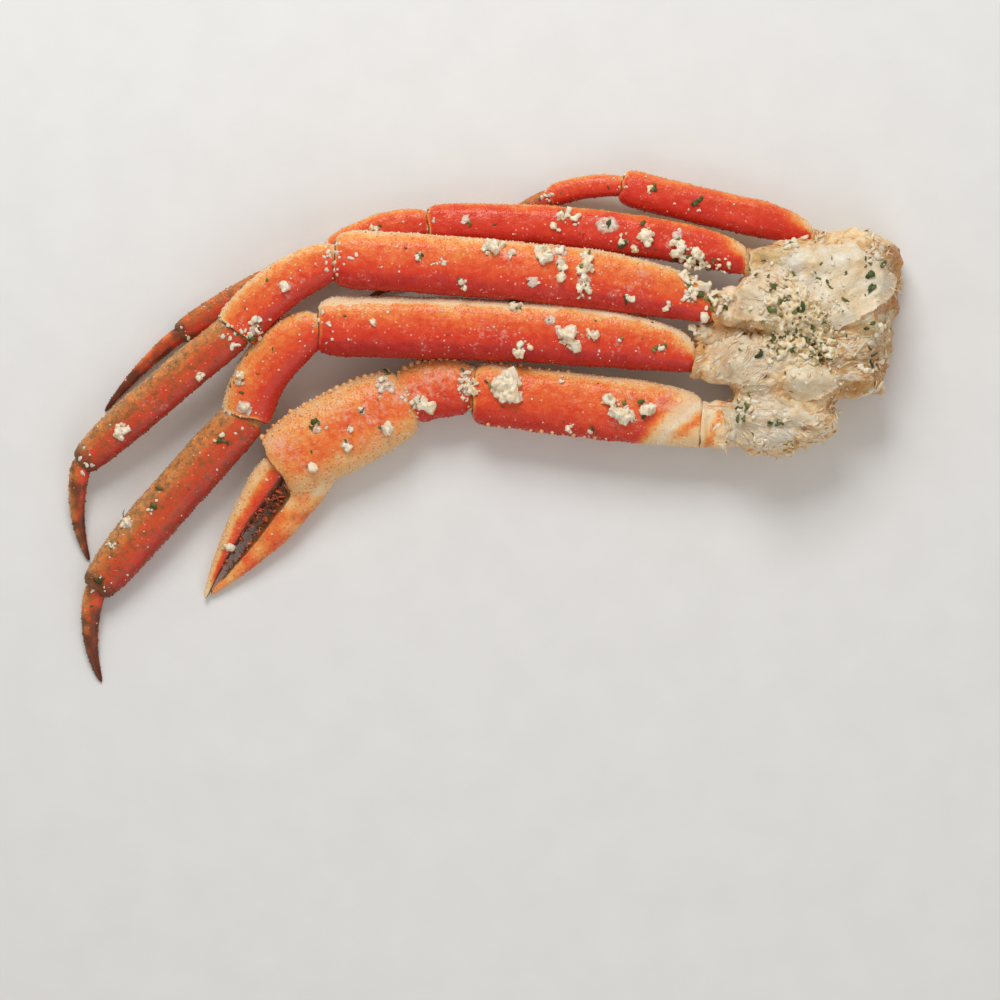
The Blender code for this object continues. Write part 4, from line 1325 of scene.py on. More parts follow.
def crumbShapes(count, roughness, seed, squash):  # rounded lumps of 48 triangles, one millimetre half wide
    dice = random.Random(seed)
    shapes = []
    for i in range(count):
        bm = bmesh.new()
        bmesh.ops.create_cube(bm, size=2)
        bmesh.ops.subdivide_edges(bm, edges=bm.edges[:], cuts=1, use_grid_fill=True)
        slim = [squash[k] * dice.uniform(0.7, 1.3) for k in range(3)]
        for v in bm.verts:
            v.co = (v.co * 0.45 + v.co.normalized() * 0.5) * dice.uniform(1 - roughness, 1 + roughness)
            v.co = Vector((v.co.x * slim[0], v.co.y * slim[1], v.co.z * slim[2])) * mm
        shapes.append(fromBmesh(f"lump{i}", bm))
    return gathered("crumbShapes", shapes)


def leafShapes(name, count, seed, sides=8):  # curled scraps of leaf, thin but closed
    dice = random.Random(seed)
    shapes = []
    for i in range(count):
        curl, width = dice.uniform(-0.35, 0.35), dice.uniform(0.35, 0.75)
        rim = []
        for k in range(sides):
            a = 2 * math.pi * k / sides
            reach = dice.uniform(0.62, 1.12)
            rim.append((math.cos(a) * reach, math.sin(a) * reach * width))
        points, faces = [], []
        for z in (0.07, -0.07):
            points.append((0, 0, z + 0.08))
            points += [(x, y, z + curl * x * x + dice.uniform(-0.05, 0.05)) for x, y in rim]
        for k in range(sides):
            n = (k + 1) % sides
            faces += [(0, 1 + k, 1 + n), (sides + 1, sides + 2 + n, sides + 2 + k)]
            faces += [(1 + k, sides + 2 + k, sides + 2 + n), (1 + k, sides + 2 + n, 1 + n)]
        mesh = bpy.data.meshes.new(f"leaf{i}")
        mesh.from_pydata([(x * mm, y * mm, z * mm) for x, y, z in points], [], faces)
        shapes.append(newObject(f"leaf{i}", mesh, False))
    return gathered(name, shapes)


# Garlic and herbs

legGroups = {  # by segment: place along and across it (1 is its back edge), then as in shoulderGroups
    "claw_merus": [(0.90, 0.25, 15, 1.5, 2.6, 2, 0), (0.85, 0.45, 15, 1.6, 2.6, 2, 2.4),
        (0.83, 0.0, 9, 1.5, 2.2, 1, 0), (0.40, 0.15, 8, 1.15, 2.4, 1, 0), (0.36, -0.1, 9, 1.2, 2.4, 1, 0),
        (0.32, -0.15, 12, 1.3, 2.8, 2, 0), (0.24, 0.1, 8, 1.3, 2.2, 2, 0), (0.56, -0.8, 3, 1.0, 1.0, 1, 0),
        (0.62, 0.85, 3, 0.8, 3.0, 1, 0), (0.46, -0.75, 0, 1.0, 1.5, 2, 0)],
    "claw_carpus": [(0.06, 0.0, 17, 0.85, 3.6, 2, 3.0), (0.15, 0.55, 7, 0.8, 2.4, 1, 2.6),
        (0.85, -0.35, 10, 0.85, 2.6, 1, 2.6), (0.7, -0.6, 4, 1.4, 1.0, 1, 0)],
    "claw_palm": [(0.09, 0.6, 7, 0.8, 2.6, 1, 2.8), (0.2, -0.45, 5, 1.4, 1.2, 3, 0),
        (0.3, 0.2, 1, 0.9, 1.0, 2, 1.4), (0.43, -0.05, 2, 0.9, 1.0, 1, 1.8),
        (0.5, -0.4, 3, 1.0, 1.2, 1, 2.6), (0.62, 0.3, 0, 1.0, 3.0, 3, 1.6),
        (0.78, -0.45, 3, 1.3, 1.0, 2, 0)],
    "claw_finger": [(0.62, 0.0, 2, 1.2, 1.5, 0, 0)],
    "leg1_merus": [(0.345, -0.05, 15, 1.35, 3.0, 1, 2.2), (0.32, -0.4, 4, 1.5, 1.2, 0, 0),
        (0.275, 0.05, 6, 0.9, 1.9, 0, 2.4), (0.48, 0.75, 5, 0.9, 1.8, 3, 1.8),
        (0.455, -0.6, 8, 1.0, 2.8, 1, 0), (0.39, 0.4, 0, 1.0, 1.0, 1, 2.0), (0.2, 0.0, 1, 0.9, 0.5, 1, 0),
        (0.09, -0.1, 2, 1.0, 1.4, 2, 0), (0.85, 0.1, 2, 1.0, 0.8, 0, 0)],
    "leg1_carpus": [(0.72, 0.6, 5, 1.15, 1.6, 0, 0), (0.92, 0.1, 2, 1.3, 0.6, 1, 2.8)],
    "leg1_propodus": [(0.14, 0.2, 1, 0.9, 2.0, 3, 0), (0.56, 0.4, 2, 0.8, 2.4, 2, 0),
        (0.69, 0.7, 5, 0.8, 2.0, 1, 1.8), (0.8, 0.6, 4, 0.7, 2.0, 2, 1.6), (0.95, 0.2, 0, 0.8, 2.0, 2, 0)],
    "leg2_merus": [(0.59, 0.7, 11, 1.25, 2.6, 1, 0), (0.54, 0.6, 4, 0.9, 2.0, 0, 1.6),
        (0.455, 0.6, 12, 1.2, 2.6, 1, 0), (0.42, 0.8, 5, 0.9, 1.8, 1, 2.6),
        (0.41, 0.4, 6, 1.0, 2.2, 1, 2.8), (0.41, -0.05, 4, 1.2, 1.2, 0, 0), (0.34, 0.65, 8, 1.1, 2.2, 1, 0),
        (0.345, 0.25, 9, 1.1, 2.4, 1, 0), (0.345, -0.15, 5, 0.8, 2.6, 1, 2.8),
        (0.34, -0.5, 5, 0.9, 2.4, 0, 0), (0.48, -0.35, 0, 1.0, 2.0, 1, 2.3),
        (0.22, -0.45, 3, 0.9, 1.2, 1, 0), (0.12, -0.55, 3, 1.0, 1.2, 0, 0),
        (0.66, -0.6, 3, 0.9, 1.2, 1, 1.4), (0.78, 0.2, 1, 0.9, 1.0, 1, 1.8),
        (0.065, 0.1, 9, 1.0, 2.6, 3, 1.8), (0.04, 0.8, 12, 1.1, 3.2, 4, 0), (0.08, 0.8, 6, 1.0, 2.4, 2, 0)],
    "leg2_carpus": [(0.45, -0.15, 3, 1.3, 1.0, 0, 1.8), (0.82, -0.4, 2, 1.2, 1.0, 1, 0),
        (0.91, -0.6, 7, 0.8, 2.6, 2, 2.4)],
    "leg2_propodus": [(0.05, -0.6, 3, 1.1, 1.0, 0, 0), (0.27, -0.65, 3, 0.9, 1.4, 2, 1.5),
        (0.73, -0.1, 9, 1.1, 2.8, 1, 2.0)],
    "leg3_merus": [(0.58, 0.6, 6, 1.0, 1.8, 2, 1.5), (0.53, 0.4, 4, 1.0, 1.8, 1, 0),
        (0.6, 0.0, 3, 0.9, 1.4, 1, 0), (0.44, 0.3, 0, 1.0, 1.4, 1, 3.6), (0.39, -0.35, 4, 0.9, 1.8, 1, 0),
        (0.34, -0.6, 4, 0.8, 1.4, 0, 0), (0.31, 0.0, 7, 1.1, 2.4, 1, 0), (0.22, 0.3, 0, 1.0, 2.0, 1, 1.9),
        (0.21, -0.3, 9, 1.1, 3.0, 2, 0), (0.165, -0.6, 12, 1.2, 3.4, 5, 0),
        (0.88, 0.2, 0, 1.0, 2.0, 1, 2.0)],
    "leg3_carpus": [(0.5, 0.2, 2, 0.9, 2.0, 1, 1.8)],
    "leg4_merus": [(0.85, 0.1, 3, 0.8, 1.0, 2, 0), (0.6, 0.0, 0, 0.8, 3.0, 3, 0)],
}
shoulderGroups = [  # x, y, crumbs, half width of a crumb, spread, herb flakes, half length of the smear
    (101, 31, 30, 0.9, 6.0, 8, 0), (104, 22, 24, 0.85, 6.5, 14, 0), (97, 15, 10, 0.9, 4.0, 4, 0),
    (111, 20, 6, 0.8, 3.5, 6, 0), (114, 13, 4, 0.8, 4.0, 8, 0), (74, 24, 16, 1.0, 4.0, 2, 0),
    (79, 31, 12, 0.9, 4.5, 3, 1.2), (72, 42, 26, 0.85, 4.5, 6, 0), (77, 36, 16, 0.8, 3.8, 3, 0),
    (79, 44, 8, 0.7, 3.0, 2, 0), (130, 10, 10, 0.85, 4.0, 3, 0), (133, 22, 9, 0.85, 4.0, 3, 0),
    (87, -4, 9, 0.8, 4.5, 6, 0), (98, -9, 3, 0.8, 5.0, 5, 0), (92, -14, 4, 0.8, 3.0, 1, 0),
    (130, 46, 4, 0.8, 2.6, 2, 0), (103, 50, 4, 1.1, 2.0, 2, 0), (115, 42, 2, 0.6, 7.0, 7, 0),
    (129, 36, 2, 0.6, 4.0, 4, 0),
]
sprinkle = {"crumbs": 1500, "flakes": 170, "largeFlakes": 40, "crumbHalf": (0.12, 0.42),
            "flakeHalf": (0.3, 0.75), "largeHalf": (0.7, 1.8), "seed": 21, "flakeSeed": 6}
crumbLook = {"count": 10, "roughness": 0.22, "seed": 31, "squash": (1.15, 1.0, 0.8)}
heapLook = {"voxel": 0.31, "smoothing": 3, "lumps": 0.1, "extra": 0.6, "larger": 1.08, "looser": 1.25,
            "seed": 5}
rubbleLook = {"middle": (105.5, 23), "spread": (6.5, 7.0), "crumbs": 360, "half": (0.35, 0.85), "flakes": 60,
              "wholeSpread": (13, 13), "specks": 200, "speckHalf": (0.12, 0.42), "seed": 24,
              "flakeSeed": 25}


def groupsFromAbove():  # the groups on the limbs, placed on their segments, and those of the shoulder
    placed = []
    for name, groups in legGroups.items():
        for along, across, *amounts in groups:
            x, y, _ = segments[name].onTop(along, across)[0]
            placed.append((x, y, *amounts))
    return placed + shoulderGroups


toppingGroups = groupsFromAbove()


def around(dice, x, y, reach):  # a place at that distance, in any direction
    turn = dice.uniform(0, 6.283)
    return x + reach * math.cos(turn), y + reach * math.sin(turn)


def anywhere(dice):  # a place within the cluster's bounds
    low, high = cadBox
    return toCluster((dice.uniform(low.x, high.x), dice.uniform(low.y, high.y), 0))[:2]


def garlicRows():
    dice = random.Random(heapLook["seed"])
    rows = []
    for x, y, crumbs, half, spread, _, _ in toppingGroups:
        for i in range(crumbs):
            share = i / max(1, crumbs - 1)
            reach = heapLook["looser"] * spread * math.sqrt(dice.random()) * (1 - 0.45 * share)
            hit, normal = landing(*around(dice, x, y, reach))
            if hit is None:
                continue
            size = half * dice.uniform(0.7, 1.15) * heapLook["larger"]
            stacked = 0.9 * size if crumbs > 4 and share > 0.6 else 0.0
            rows.append((hit + normal * (size * 0.45 + stacked) * mm, normal, size))
            if dice.randint(0, 1):  # a small crumb that clings to a large one
                aside = Vector((dice.gauss(0, 1), dice.gauss(0, 1), dice.gauss(0, 0.6))).normalized()
                rows.append((rows[-1][0] + aside * size * 0.9 * mm, normal, size * dice.uniform(0.4, 0.65)))
    for x, y in rubblePlaces(rubbleLook["crumbs"], rubbleLook["seed"]):
        hit, normal = landing(x, y)
        if hit is not None:
            size = dice.uniform(*rubbleLook["half"])
            rows.append((hit + normal * size * 0.4 * mm, normal, size))
    return rows


def rubblePlaces(count, seed):  # the garlic that lies in the shoulder's middle, in a slanting patch
    dice = random.Random(seed)
    (x, y), (wide, high) = rubbleLook["middle"], rubbleLook["spread"]
    places = []
    for _ in range(count):
        u, v = dice.gauss(0, 1), dice.gauss(0, 1)
        places.append((x + wide * u, y + high * v - 0.45 * high * u))
    return places


def grainRows():
    rows = []
    dice = random.Random(sprinkle["seed"])
    for x, y, crumbs, half, spread, _, _ in toppingGroups:
        for _ in range(int(crumbs * heapLook["extra"]) + 1):
            reach = spread * math.sqrt(dice.random()) * 1.15
            hit, normal = landing(*around(dice, x, y, reach))
            if hit is not None:
                size = half * dice.uniform(0.35, 0.75)
                raised = dice.uniform(0.3, 1.3) if crumbs > 4 and reach < 0.6 * spread else 0.25
                rows.append((hit + normal * size * raised * mm, normal, size))
    (x, y), (wide, high) = rubbleLook["middle"], rubbleLook["wholeSpread"]
    for _ in range(rubbleLook["specks"]):
        hit, normal = landing(dice.gauss(x, wide), dice.gauss(y, high), True)
        if hit is not None:
            size = dice.uniform(*rubbleLook["speckHalf"])
            rows.append((hit + normal * (size * 0.3 + 0.35) * mm, normal, size))
    for _ in range(sprinkle["crumbs"]):
        x, y = anywhere(dice)
        hit, normal = landing(x, y)
        if hit is not None and (landing(x, y, True)[0] is None or dice.random() < 0.3):
            small, large = sprinkle["crumbHalf"]
            size = small + (large - small) * dice.random() ** 3
            rows.append((hit + normal * size * 0.2 * mm, normal, size))
    return rows


def herbRows():
    dice = random.Random(sprinkle["flakeSeed"])
    spots = []  # x, y, half length of the flake, how high it lies
    for x, y, crumbs, _, spread, flakes, _ in toppingGroups:
        for _ in range(flakes):
            half = 0.7 + 1.4 * dice.random() ** 1.5
            px, py = x + dice.gauss(0, spread * 0.6), y + dice.gauss(0, spread * 0.6)
            spots.append((px, py, half, 0.9 if crumbs > 4 else 0.35))
            if half > 1.2:  # a second flake folded over a large one
                spots.append((px + dice.gauss(0, 0.8), py + dice.gauss(0, 0.8), half * 0.7, 0.5))
    spots += [(x, y, dice.uniform(0.4, 1.3), 1.0)
              for x, y in rubblePlaces(rubbleLook["flakes"], rubbleLook["flakeSeed"])]
    for i in range(sprinkle["flakes"] + sprinkle["largeFlakes"]):
        sizes = sprinkle["flakeHalf" if i < sprinkle["flakes"] else "largeHalf"]
        spots.append((*anywhere(dice), dice.uniform(*sizes), 0.15))
    rows = []
    for x, y, half, height in spots:
        hit, normal = landing(x, y)
        if hit is not None:
            rows.append((hit + normal * height * mm, normal, half))
    return rows


def melted(made):  # a heap's crumbs run into one another
    reskin(made, heapLook["voxel"], heapLook["smoothing"])
    points, normals = placesOf(made), normalsOf(made.data)
    lumpy = roughly(points, 0.9, 17) + 0.7 * roughly(points, 0.5, 18)
    moveTo(made, points + normals * (heapLook["lumps"] * lumpy)[:, None])
    hollow = step(hollowness(made, 8), 0.0, 0.3)
    (x, y), (wide, high) = rubbleLook["middle"], rubbleLook["spread"]
    buttery = 0.42 * ellipse(points, (x, y, wide * 2, high * 2), 0.7)
    # the garlic is darker in the hollows between its lumps: painted shade
    store(made, "tone", np.clip(0.55 + 0.8 * roughly(points, 1.4, 19) - 0.45 * hollow - buttery, 0, 1))
    onlyMaterial(made, garlicCrumb)


garlicShapes = crumbShapes(**crumbLook)
garlic = setPieces("garlicHeaps", garlicRows(), garlicShapes, garlicCrumb, tilt=1.2, seed=2)
melted(garlic)
grains = setPieces("garlicGrains", grainRows(), garlicShapes, garlicCrumb, tilt=1.0, seed=7)
sharpen(grains.data, 38)
herbShapes = leafShapes("herbShapes", count=8, seed=32)
herbs = setPieces("herbFlakes", herbRows(), herbShapes, herbLeaf, tilt=0.35, seed=3)
print("topping made:", [len(made.data.polygons) for made in (garlic, grains, herbs)], "faces")


# Beads along the shells' edges, and the claw's spines and teeth

beadLook = {"perSquareMetre": 1.3e6, "half": 0.18, "seed": 9, "lighter": 0.1, "clear": 0.0006}
spineSeed, toothSeed = 12, 13
toothLook = {"perFinger": 80, "movable": 2.0, "fixed": 2.3}  # sizes in millimetres
spineRowsOf = [  # segment, edge, first and last place along it, how many, height
    ("claw_palm", 1, 0.04, 0.97, 20, 1.0), ("claw_palm", 0.82, 0.08, 0.9, 15, 0.6),
    ("claw_carpus", 1, 0.3, 0.92, 9, 0.9), ("claw_merus", 1, 0.6, 0.94, 9, 0.75),
    ("claw_merus", -1, 0.45, 0.92, 11, 0.7),
]


def makeBeadTree():  # tiny beads strewn where the surface's grit value is high; they keep its colours
    tree, given, out = newTree("GeometryNodeTree", "edgeBeads", [
        ("Geometry", "Geometry"), ("Density", "Float", 1e6), ("Half", "Float", 0.0002), ("Seed", "Int", 1),
        ("Material", "Material")], ("Geometry", "Geometry"))
    height = put(tree, "ShaderNodeSeparateXYZ", {0: put(tree, "GeometryNodeInputPosition")}, 2)
    clear = put(tree, "FunctionNodeCompare", {0: height, 1: beadLook["clear"]}, operation="GREATER_THAN")
    spread = put(tree, "GeometryNodeDistributePointsOnFaces", {
        "Mesh": given["Geometry"], "Density": named(tree, "grit") * given["Density"], "Seed": given["Seed"],
        "Selection": clear})
    bead = put(tree, "GeometryNodeMeshUVSphere", {"Segments": 4, "Rings": 2, "Radius": given["Half"]})
    placed = put(tree, "GeometryNodeInstanceOnPoints", {
        "Points": spread, "Instance": bead, "Rotation": spread.also("Rotation"),
        "Scale": 0.55 + calc("POWER", randomValue(0.0, 1.3, given["Seed"]), 3)})
    return finished(tree, put(tree, "GeometryNodeRealizeInstances", {0: placed}), given, out)


def buildBeads():
    joined = bmesh.new()
    for name, made in shells.items():
        if not name.endswith("ischium"):
            joined.from_mesh(made.data)
    made = grow(fromBmesh("shellBeads", joined, True), makeBeadTree(), Density=beadLook["perSquareMetre"],
                Half=beadLook["half"] * mm, Seed=beadLook["seed"], Material=crabShell)
    # the beads are made lighter than the shell they sit on: painted glints on the granules
    tint = readAll(made.data.attributes["tint"].data, "value")
    store(made, "tint", tint + beadLook["lighter"])
    return made


def spineShapes(name, pointed):
    shapes = []
    for lean, wide, tip, tall in ((-0.15, 0.6, 0.3, 1.3), (0.0, 0.45, 0.1, 1.7), (0.18, 0.2, 0.06, 2.4)):
        bm = bmesh.new()
        if pointed:
            bmesh.ops.create_cone(bm, cap_ends=True, segments=7, radius1=wide, radius2=tip, depth=tall)
        else:
            bmesh.ops.create_icosphere(bm, subdivisions=2, radius=1)
        for v in bm.verts:
            v.co = Vector((v.co.x + lean * v.co.z, v.co.y, v.co.z * 1.2 + 0.1)) * mm
        shapes.append(fromBmesh(f"spine{len(shapes)}", bm))
    return gathered(name, shapes)


def spineRows():
    dice = random.Random(spineSeed)
    rows = []
    for name, edge, first, last, count, height in spineRowsOf:
        for i in range(count):
            t = first + (last - first) * i / (count - 1)
            at, outwards = segments[name].onTop(t, edge * dice.uniform(0.94, 0.985))
            rows.append((Vector(toRow(at)), Vector(outwards), height * dice.uniform(0.6, 1.1)))
    return rows


def toothRows():
    dice = random.Random(toothSeed)
    rows = []
    for part, side, large in ((segments["claw_finger"], -1, toothLook["movable"]),
                              (fixedPart, 1, toothLook["fixed"])):
        for _ in range(toothLook["perFinger"]):
            t = dice.uniform(0.1, 0.86)
            at, outwards = part.onTop(t, side * (1 - 0.25 * dice.random() ** 3))
            rows.append((Vector(toRow(at)), Vector(outwards), large * dice.uniform(0.35, 1.1) * (1.2 - t)))
    return rows


scrapLook = {"seed": 16, "perJoint": 15, "half": (0.3, 0.8)}


def scrapRows():  # torn bits of skin that stick to the joints
    dice = random.Random(scrapLook["seed"])
    rows = []
    for limb in limbs:
        for joint, kind in zip(joints[2:5], kindsOf[limb][1:4]):
            middle = limbs[limb][joint]
            half = limbs[limb][kind][2] / 2
            for _ in range(int(scrapLook["perJoint"] * dice.uniform(0.3, 1.3) * min(1, half / 6))):
                spot = middle[0] + dice.gauss(0, half * 0.5), middle[1] + dice.gauss(0, half * 0.5)
                hit, normal = landing(*spot)
                if hit is not None:
                    rows.append((hit, normal, dice.uniform(*scrapLook["half"])))
    return rows


beads = buildBeads()
scraps = setPieces("jointScraps", scrapRows(), garlicShapes, crabMeat, flatness=0.4, tilt=0.4, seed=8)
storeSame(scraps, sheet=1.0, tone=1.0)
spines = setPieces("clawSpines", spineRows(), spineShapes("spineShapes", False), crabShell, tilt=0.12, seed=5)
storeSame(spines, tint=0.76)
teeth = setPieces("clawTeeth", toothRows(), spineShapes("toothShapes", True), crabShell, tilt=0.5, seed=6)
# the teeth are brown: partly their own colour, partly painted shade of the gap between the fingers
storeSame(teeth, tint=0.5)
store(teeth, "brown", np.clip(0.6 + 0.7 * roughly(placesOf(teeth), 1.5, 20), 0.4, 0.95))
print("beads, spines and teeth made:", len(beads.data.polygons), "faces of beads")


# Smears, strings and flakes

puddleLook = {"cell": 0.42, "ragged": 0.8, "thickness": 0.5, "height": 0.42, "seed": 30}


def puddlePatch(number, x0, y0, rx, ry):
    def rule(x, y):
        wander = wave(x / 1.9, y / 1.9, number * 3.0)
        wander += 0.6 * wave(x / 0.8, y / 0.8, number * 3.0)
        depth = (1 - math.hypot((x - x0) / rx, (y - y0) / ry)) * min(rx, ry) + puddleLook["ragged"] * wander
        if depth < 0:
            return None
        ripple = 0.12 * wave(x / 0.9, y / 0.9, 5.0)
        return 0.02 + ripple + puddleLook["height"] * (1 - math.exp(-depth / 0.8))

    return (x0 - rx - 1.5, x0 + rx + 1.5, y0 - ry - 1.5, y0 + ry + 1.5), rule, 0


def buildPuddles():
    dice = random.Random(puddleLook["seed"])
    smears = [(x, y, half * dice.uniform(0.7, 1.4), half * dice.uniform(0.6, 1.1))
              for x, y, *_, half in toppingGroups if half]
    patches = [puddlePatch(number, *smear) for number, smear in enumerate(smears)]
    made = drape("butterSmears", patches, puddleLook["cell"], puddleLook["thickness"], butterSmear)
    at = placesOf(made)
    cover = np.zeros(len(at))
    for x, y, rx, ry in smears:
        away = np.hypot((at[:, 0] - x) / (rx + 0.6), (at[:, 1] - y) / (ry + 0.6))
        cover = np.maximum(cover, np.clip(1.25 - away, 0, 1))
    store(made, "cover", np.clip(cover * 1.15, 0, 1))
    return made


strandLook = {"seed": 14, "half": 0.5, "points": 9, "sway": 0.35, "lowest": 0.004, "steepest": 0.0014,
              "clear": 0.0012}
smoothSheets = (0, 2)  # the skins that carry no strings or flakes
strandZones = [  # middle, spread, which way the strings run, how many, thinnest and thickest
    ((83, 13), (6, 5.5), 235, 150, (0.25, 0.9)), ((121, 14), (8, 3.5), 24, 90, (0.3, 1.1)),
    ((92, -3), (7, 4), 195, 70, (0.3, 0.9)), ((99, -12), (7, 3), -18, 80, (0.3, 1.0)),
    ((131, 12), (5, 8), -8, 60, (0.3, 1.0)), ((129, 49), (5, 2.5), 32, 60, (0.25, 0.8)),
    ((94, 34), (6, 6), 165, 50, (0.25, 0.8)), ((94, 8), (9, 6), 225, 60, (0.3, 1.0)),
    ((110, 12), (18, 14), 10, 70, (1.8, 3.4)), ((94, -5), (9, 6), 170, 35, (1.8, 3.2)),
]
wisps = [  # where strings hang over the shoulder's rim: start, direction, how many
    ((112, -12.5), (0.8, -0.5), 12), ((104, -17), (0.6, -0.8), 14), ((94, -18), (0.2, -1), 10),
    ((117, -4), (1, -0.3), 10), ((134, 2), (0.9, -0.5), 10), ((138, 12), (1, -0.1), 8), ((139, 38),
      (1, 0.2), 6),
    ((131, 49), (0.7, 0.7), 18), ((112, 53), (0.2, 1), 8), ((84, -15), (-0.3, -0.9), 6), ((80, 0),
      (-0.8, -0.6), 6),
    ((86, 21), (-0.8, 0.4), 6), ((96, 40), (-0.7, 0.7), 6),
]


def onSmoothSheet(x, y):
    return any(inOutline(x, y, skins[number][0]) for number in smoothSheets)


def makeStrandTree():  # a tapered string of meat along each line
    tree, given, out = newTree("GeometryNodeTree", "meatStrands", [
        ("Geometry", "Geometry"), ("Half", "Float", 0.0003), ("Sides", "Int", 5), ("Material", "Material")],
        ("Geometry", "Geometry"))
    thick = named(tree, "thick")
    line = put(tree, "GeometryNodeMeshToCurve", {"Mesh": given["Geometry"]})
    line = put(tree, "GeometryNodeSetCurveRadius", {0: line, "Radius": thick})
    ring = put(tree, "GeometryNodeCurvePrimitiveCircle", {
        "Resolution": given["Sides"], "Radius": given["Half"]})
    ring = put(tree, "GeometryNodeTransform", {"Geometry": ring, "Scale": (1.0, 0.6, 1.0)})
    tube = put(tree, "GeometryNodeCurveToMesh", {"Curve": line, "Profile Curve": ring, "Fill Caps": True,
                                                 "Scale": thick})
    return finished(tree, tube, given, out)


def buildStrands():
    dice = random.Random(strandLook["seed"])
    count = strandLook["points"]
    lines = []
    for (x0, y0), (wide, high), degrees, many, thickness in strandZones:
        for n in range(many):
            x, y = x0 + dice.gauss(0, wide), y0 + dice.gauss(0, high)
            turn, width = math.radians(degrees) + dice.gauss(0, 0.28), dice.uniform(*thickness)
            way = (math.cos(turn), math.sin(turn))
            length = dice.uniform(3, 11) if width < 1.5 else dice.uniform(6, 13)
            sunk = dice.uniform(-0.35, 0.05) - 0.25 * max(0.0, width - 1.0)
            line = []
            for k in range(count):
                u = (k / (count - 1) - 0.5) * length
                bend = strandLook["sway"] * math.sin(u * 0.6 + n)
                px, py = x + way[0] * u - way[1] * bend, y + way[1] * u + way[0] * bend
                hit, normal = landing(px, py, True)
                if hit is None or hit.z < strandLook["lowest"] or onSmoothSheet(px, py):
                    break
                if line and abs(hit.z - line[-1][2]) > strandLook["steepest"]:
                    break
                line.append(tuple(hit + normal * (sunk + 0.15 * math.sin(k * 1.3 + n)) * mm))
            if len(line) > 4:
                lines.append((line, width, dice.random()))
    for (x, y), (dx, dy), many in wisps:
        for n in range(many):
            px, py = x + dice.gauss(0, 2.2), y + dice.gauss(0, 2.2)
            hit, normal = landing(px, py)
            if hit is None:
                continue
            turn, length = math.atan2(dy, dx) + dice.gauss(0, 0.8), dice.uniform(1.2, 3.6)
            drop, width = dice.uniform(0.3, 1.0), dice.uniform(0.3, 0.9)
            line = []
            for k in range(count):
                u = (k / (count - 1)) ** 1.1 * length
                sway = 0.35 * math.sin(u + n)
                spot = toRow((px + math.cos(turn) * u - math.sin(turn) * sway,
                              py + math.sin(turn) * u + math.cos(turn) * sway, 0))
                z = hit.z + (0.1 - drop * u * u * 0.12) * mm
                line.append((spot[0], spot[1], max(z, strandLook["clear"])))
            lines.append((line, width, dice.random()))
    points, edges, thick, tone, ways = [], [], [], [], []
    for line, width, shade in lines:
        start = len(points)
        ways += [unit(np.subtract(line[-1], line[0]))] * len(line)
        points += line
        edges += [(start + i, start + i + 1) for i in range(len(line) - 1)]
        thick += [width * (0.15 + 0.85 * math.sin(math.pi * (i + 0.4) / len(line))) for i in range(len(line))]
        tone += [shade] * len(line)
    made = meshObject("meatStrands", points, [], edges=edges)
    for name, values in {"thick": thick, "way": ways, "tone": tone}.items():
        store(made, name, values)
    grow(made, makeStrandTree(), Half=strandLook["half"] * mm, Sides=6, Material=crabMeat)
    at = placesOf(made)
    way = readAll(made.data.attributes["way"].data, "vector", 3)
    along, across = np.sum(at * way, axis=1), at[:, 1] * way[:, 0] - at[:, 0] * way[:, 1]
    store(made, "run", np.stack([along, across, at[:, 2]], 1) * mm)
    dressAsTorn(made, 0.7)
    return made


flakeLook = {"seed": 18, "size": (1.0, 2.8), "spread": 2.4}


def flakeRows():  # thin torn flakes round the shoulder's rim
    dice = random.Random(flakeLook["seed"])
    rows = []
    for (x, y), (dx, dy), many in wisps:
        for _ in range(many):
            px, py = x - dx + dice.gauss(0, flakeLook["spread"]), y - dy + dice.gauss(0, flakeLook["spread"])
            hit, normal = landing(px, py, True)
            if hit is not None and not onSmoothSheet(px, py):
                rows.append((hit + normal * 0.35 * mm, normal, dice.uniform(*flakeLook["size"])))
    return rows


def dressAsTorn(made, sheet):
    at = placesOf(made)
    store(made, "sheet", np.clip(sheet + 0.8 * roughly(at, 8, 22), 0, 1))
    store(made, "torn", tanAt(at) * np.clip(0.45 + 0.9 * roughly(at, 2.5, 27), 0, 0.9))


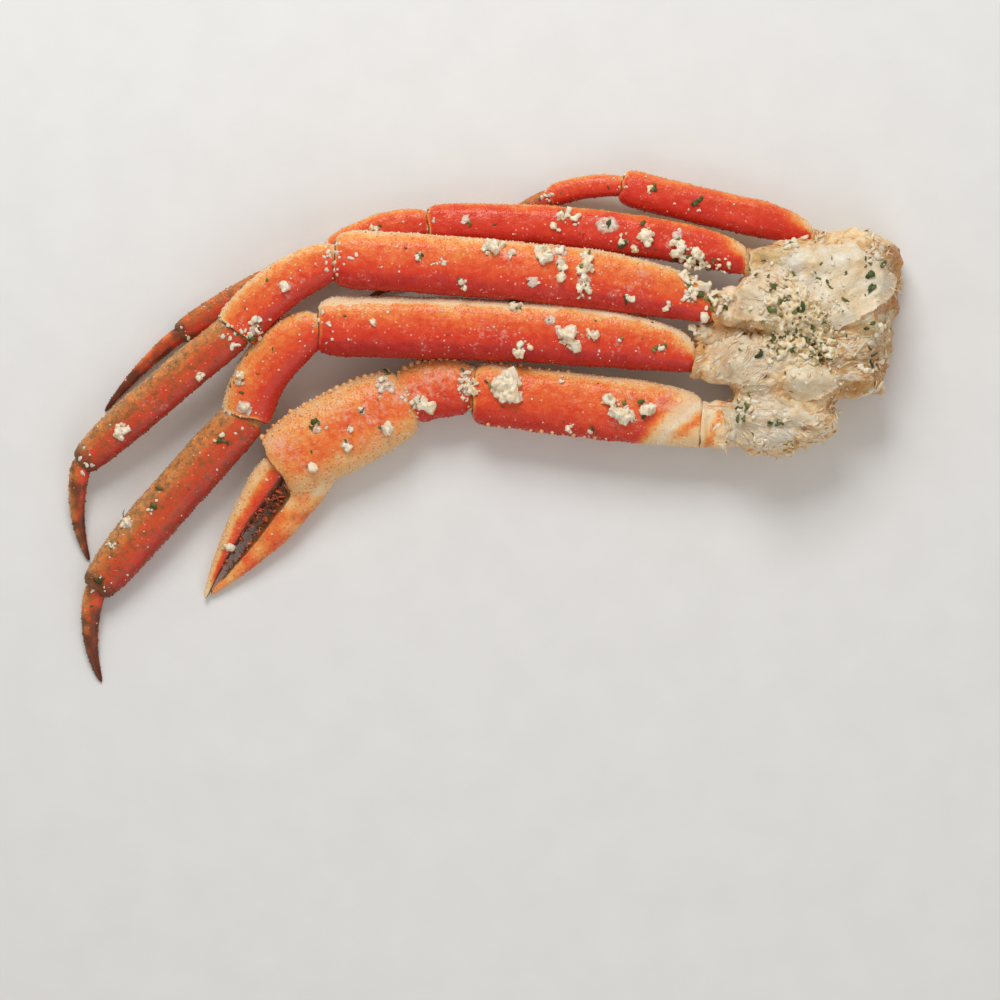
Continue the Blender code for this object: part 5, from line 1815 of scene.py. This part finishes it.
butter = buildPuddles()
flakeShapes = leafShapes("flakeShapes", count=8, seed=33, sides=14)
flakes = setPieces("meatFlakes", flakeRows(), flakeShapes, crabMeat, tilt=0.5, seed=9)
dressAsTorn(flakes, 0.7)
meatStrands = buildStrands()
print("strings and flakes made:", len(meatStrands.data.polygons), len(flakes.data.polygons), "faces")


# Every piece takes its place

placed = [(made, "meat" if name.endswith("ischium") else "shell") for name, made in shells.items()]
placed += [(made, "meat") for made in (shoulder, membraneSkins, meatStrands, garlic, grains, scraps, flakes,
                                       herbs, butter)]
placed += [(made, "shell") for made in (beads, spines, teeth)]
for name, made in (*shells.items(), ("shoulder", shoulder)):
    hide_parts(name)
for made, slotName in placed:
    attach(made, "root")
print("pieces placed")


# Floor, light and camera

studio = {
    "floorHalf": 3.0, "world": (1.0, 0.965, 0.92), "worldStrength": 0.43,
      "cameraPlace": (0.00491, -0.02477, 1.4167),
    "lens": 150, "sensorWidth": 36, "softbox": {"place": (-0.15, 0.75, 0.75), "size": 0.5, "power": 7.0},
    "fill": {"place": (0.4, -0.75, 0.9), "size": 0.9, "power": 2.3},
}


def addStudio():
    half = studio["floorHalf"]
    floor = meshObject("floor", [(-half, -half, 0), (half, -half, 0), (half, half, 0), (-half, half, 0)],
                       [(0, 1, 2, 3)], [paleFloor])
    world = bpy.data.worlds.new("softWorld")
    world.use_nodes = True
    back = world.node_tree.nodes["Background"]
    back.inputs["Color"].default_value = (*studio["world"], 1)
    back.inputs["Strength"].default_value = studio["worldStrength"]
    bpy.context.scene.world = world
    for name in ("softbox", "fill"):
        look = studio[name]
        data = bpy.data.lights.new(name, "AREA")
        data.size = look["size"]
        data.energy = look["power"]
        lamp = newObject(name, data)
        lamp.location = look["place"]
        lamp.rotation_euler = Vector(look["place"]).to_track_quat("Z", "Y").to_euler()
    data = bpy.data.cameras.new("cameraLens")
    data.lens = studio["lens"]
    data.sensor_width = studio["sensorWidth"]
    camera = newObject("camera", data)
    camera.location = studio["cameraPlace"]
    bpy.context.scene.camera = camera
    bpy.context.scene.view_settings.view_transform = "Standard"


addStudio()
print("studio ready")
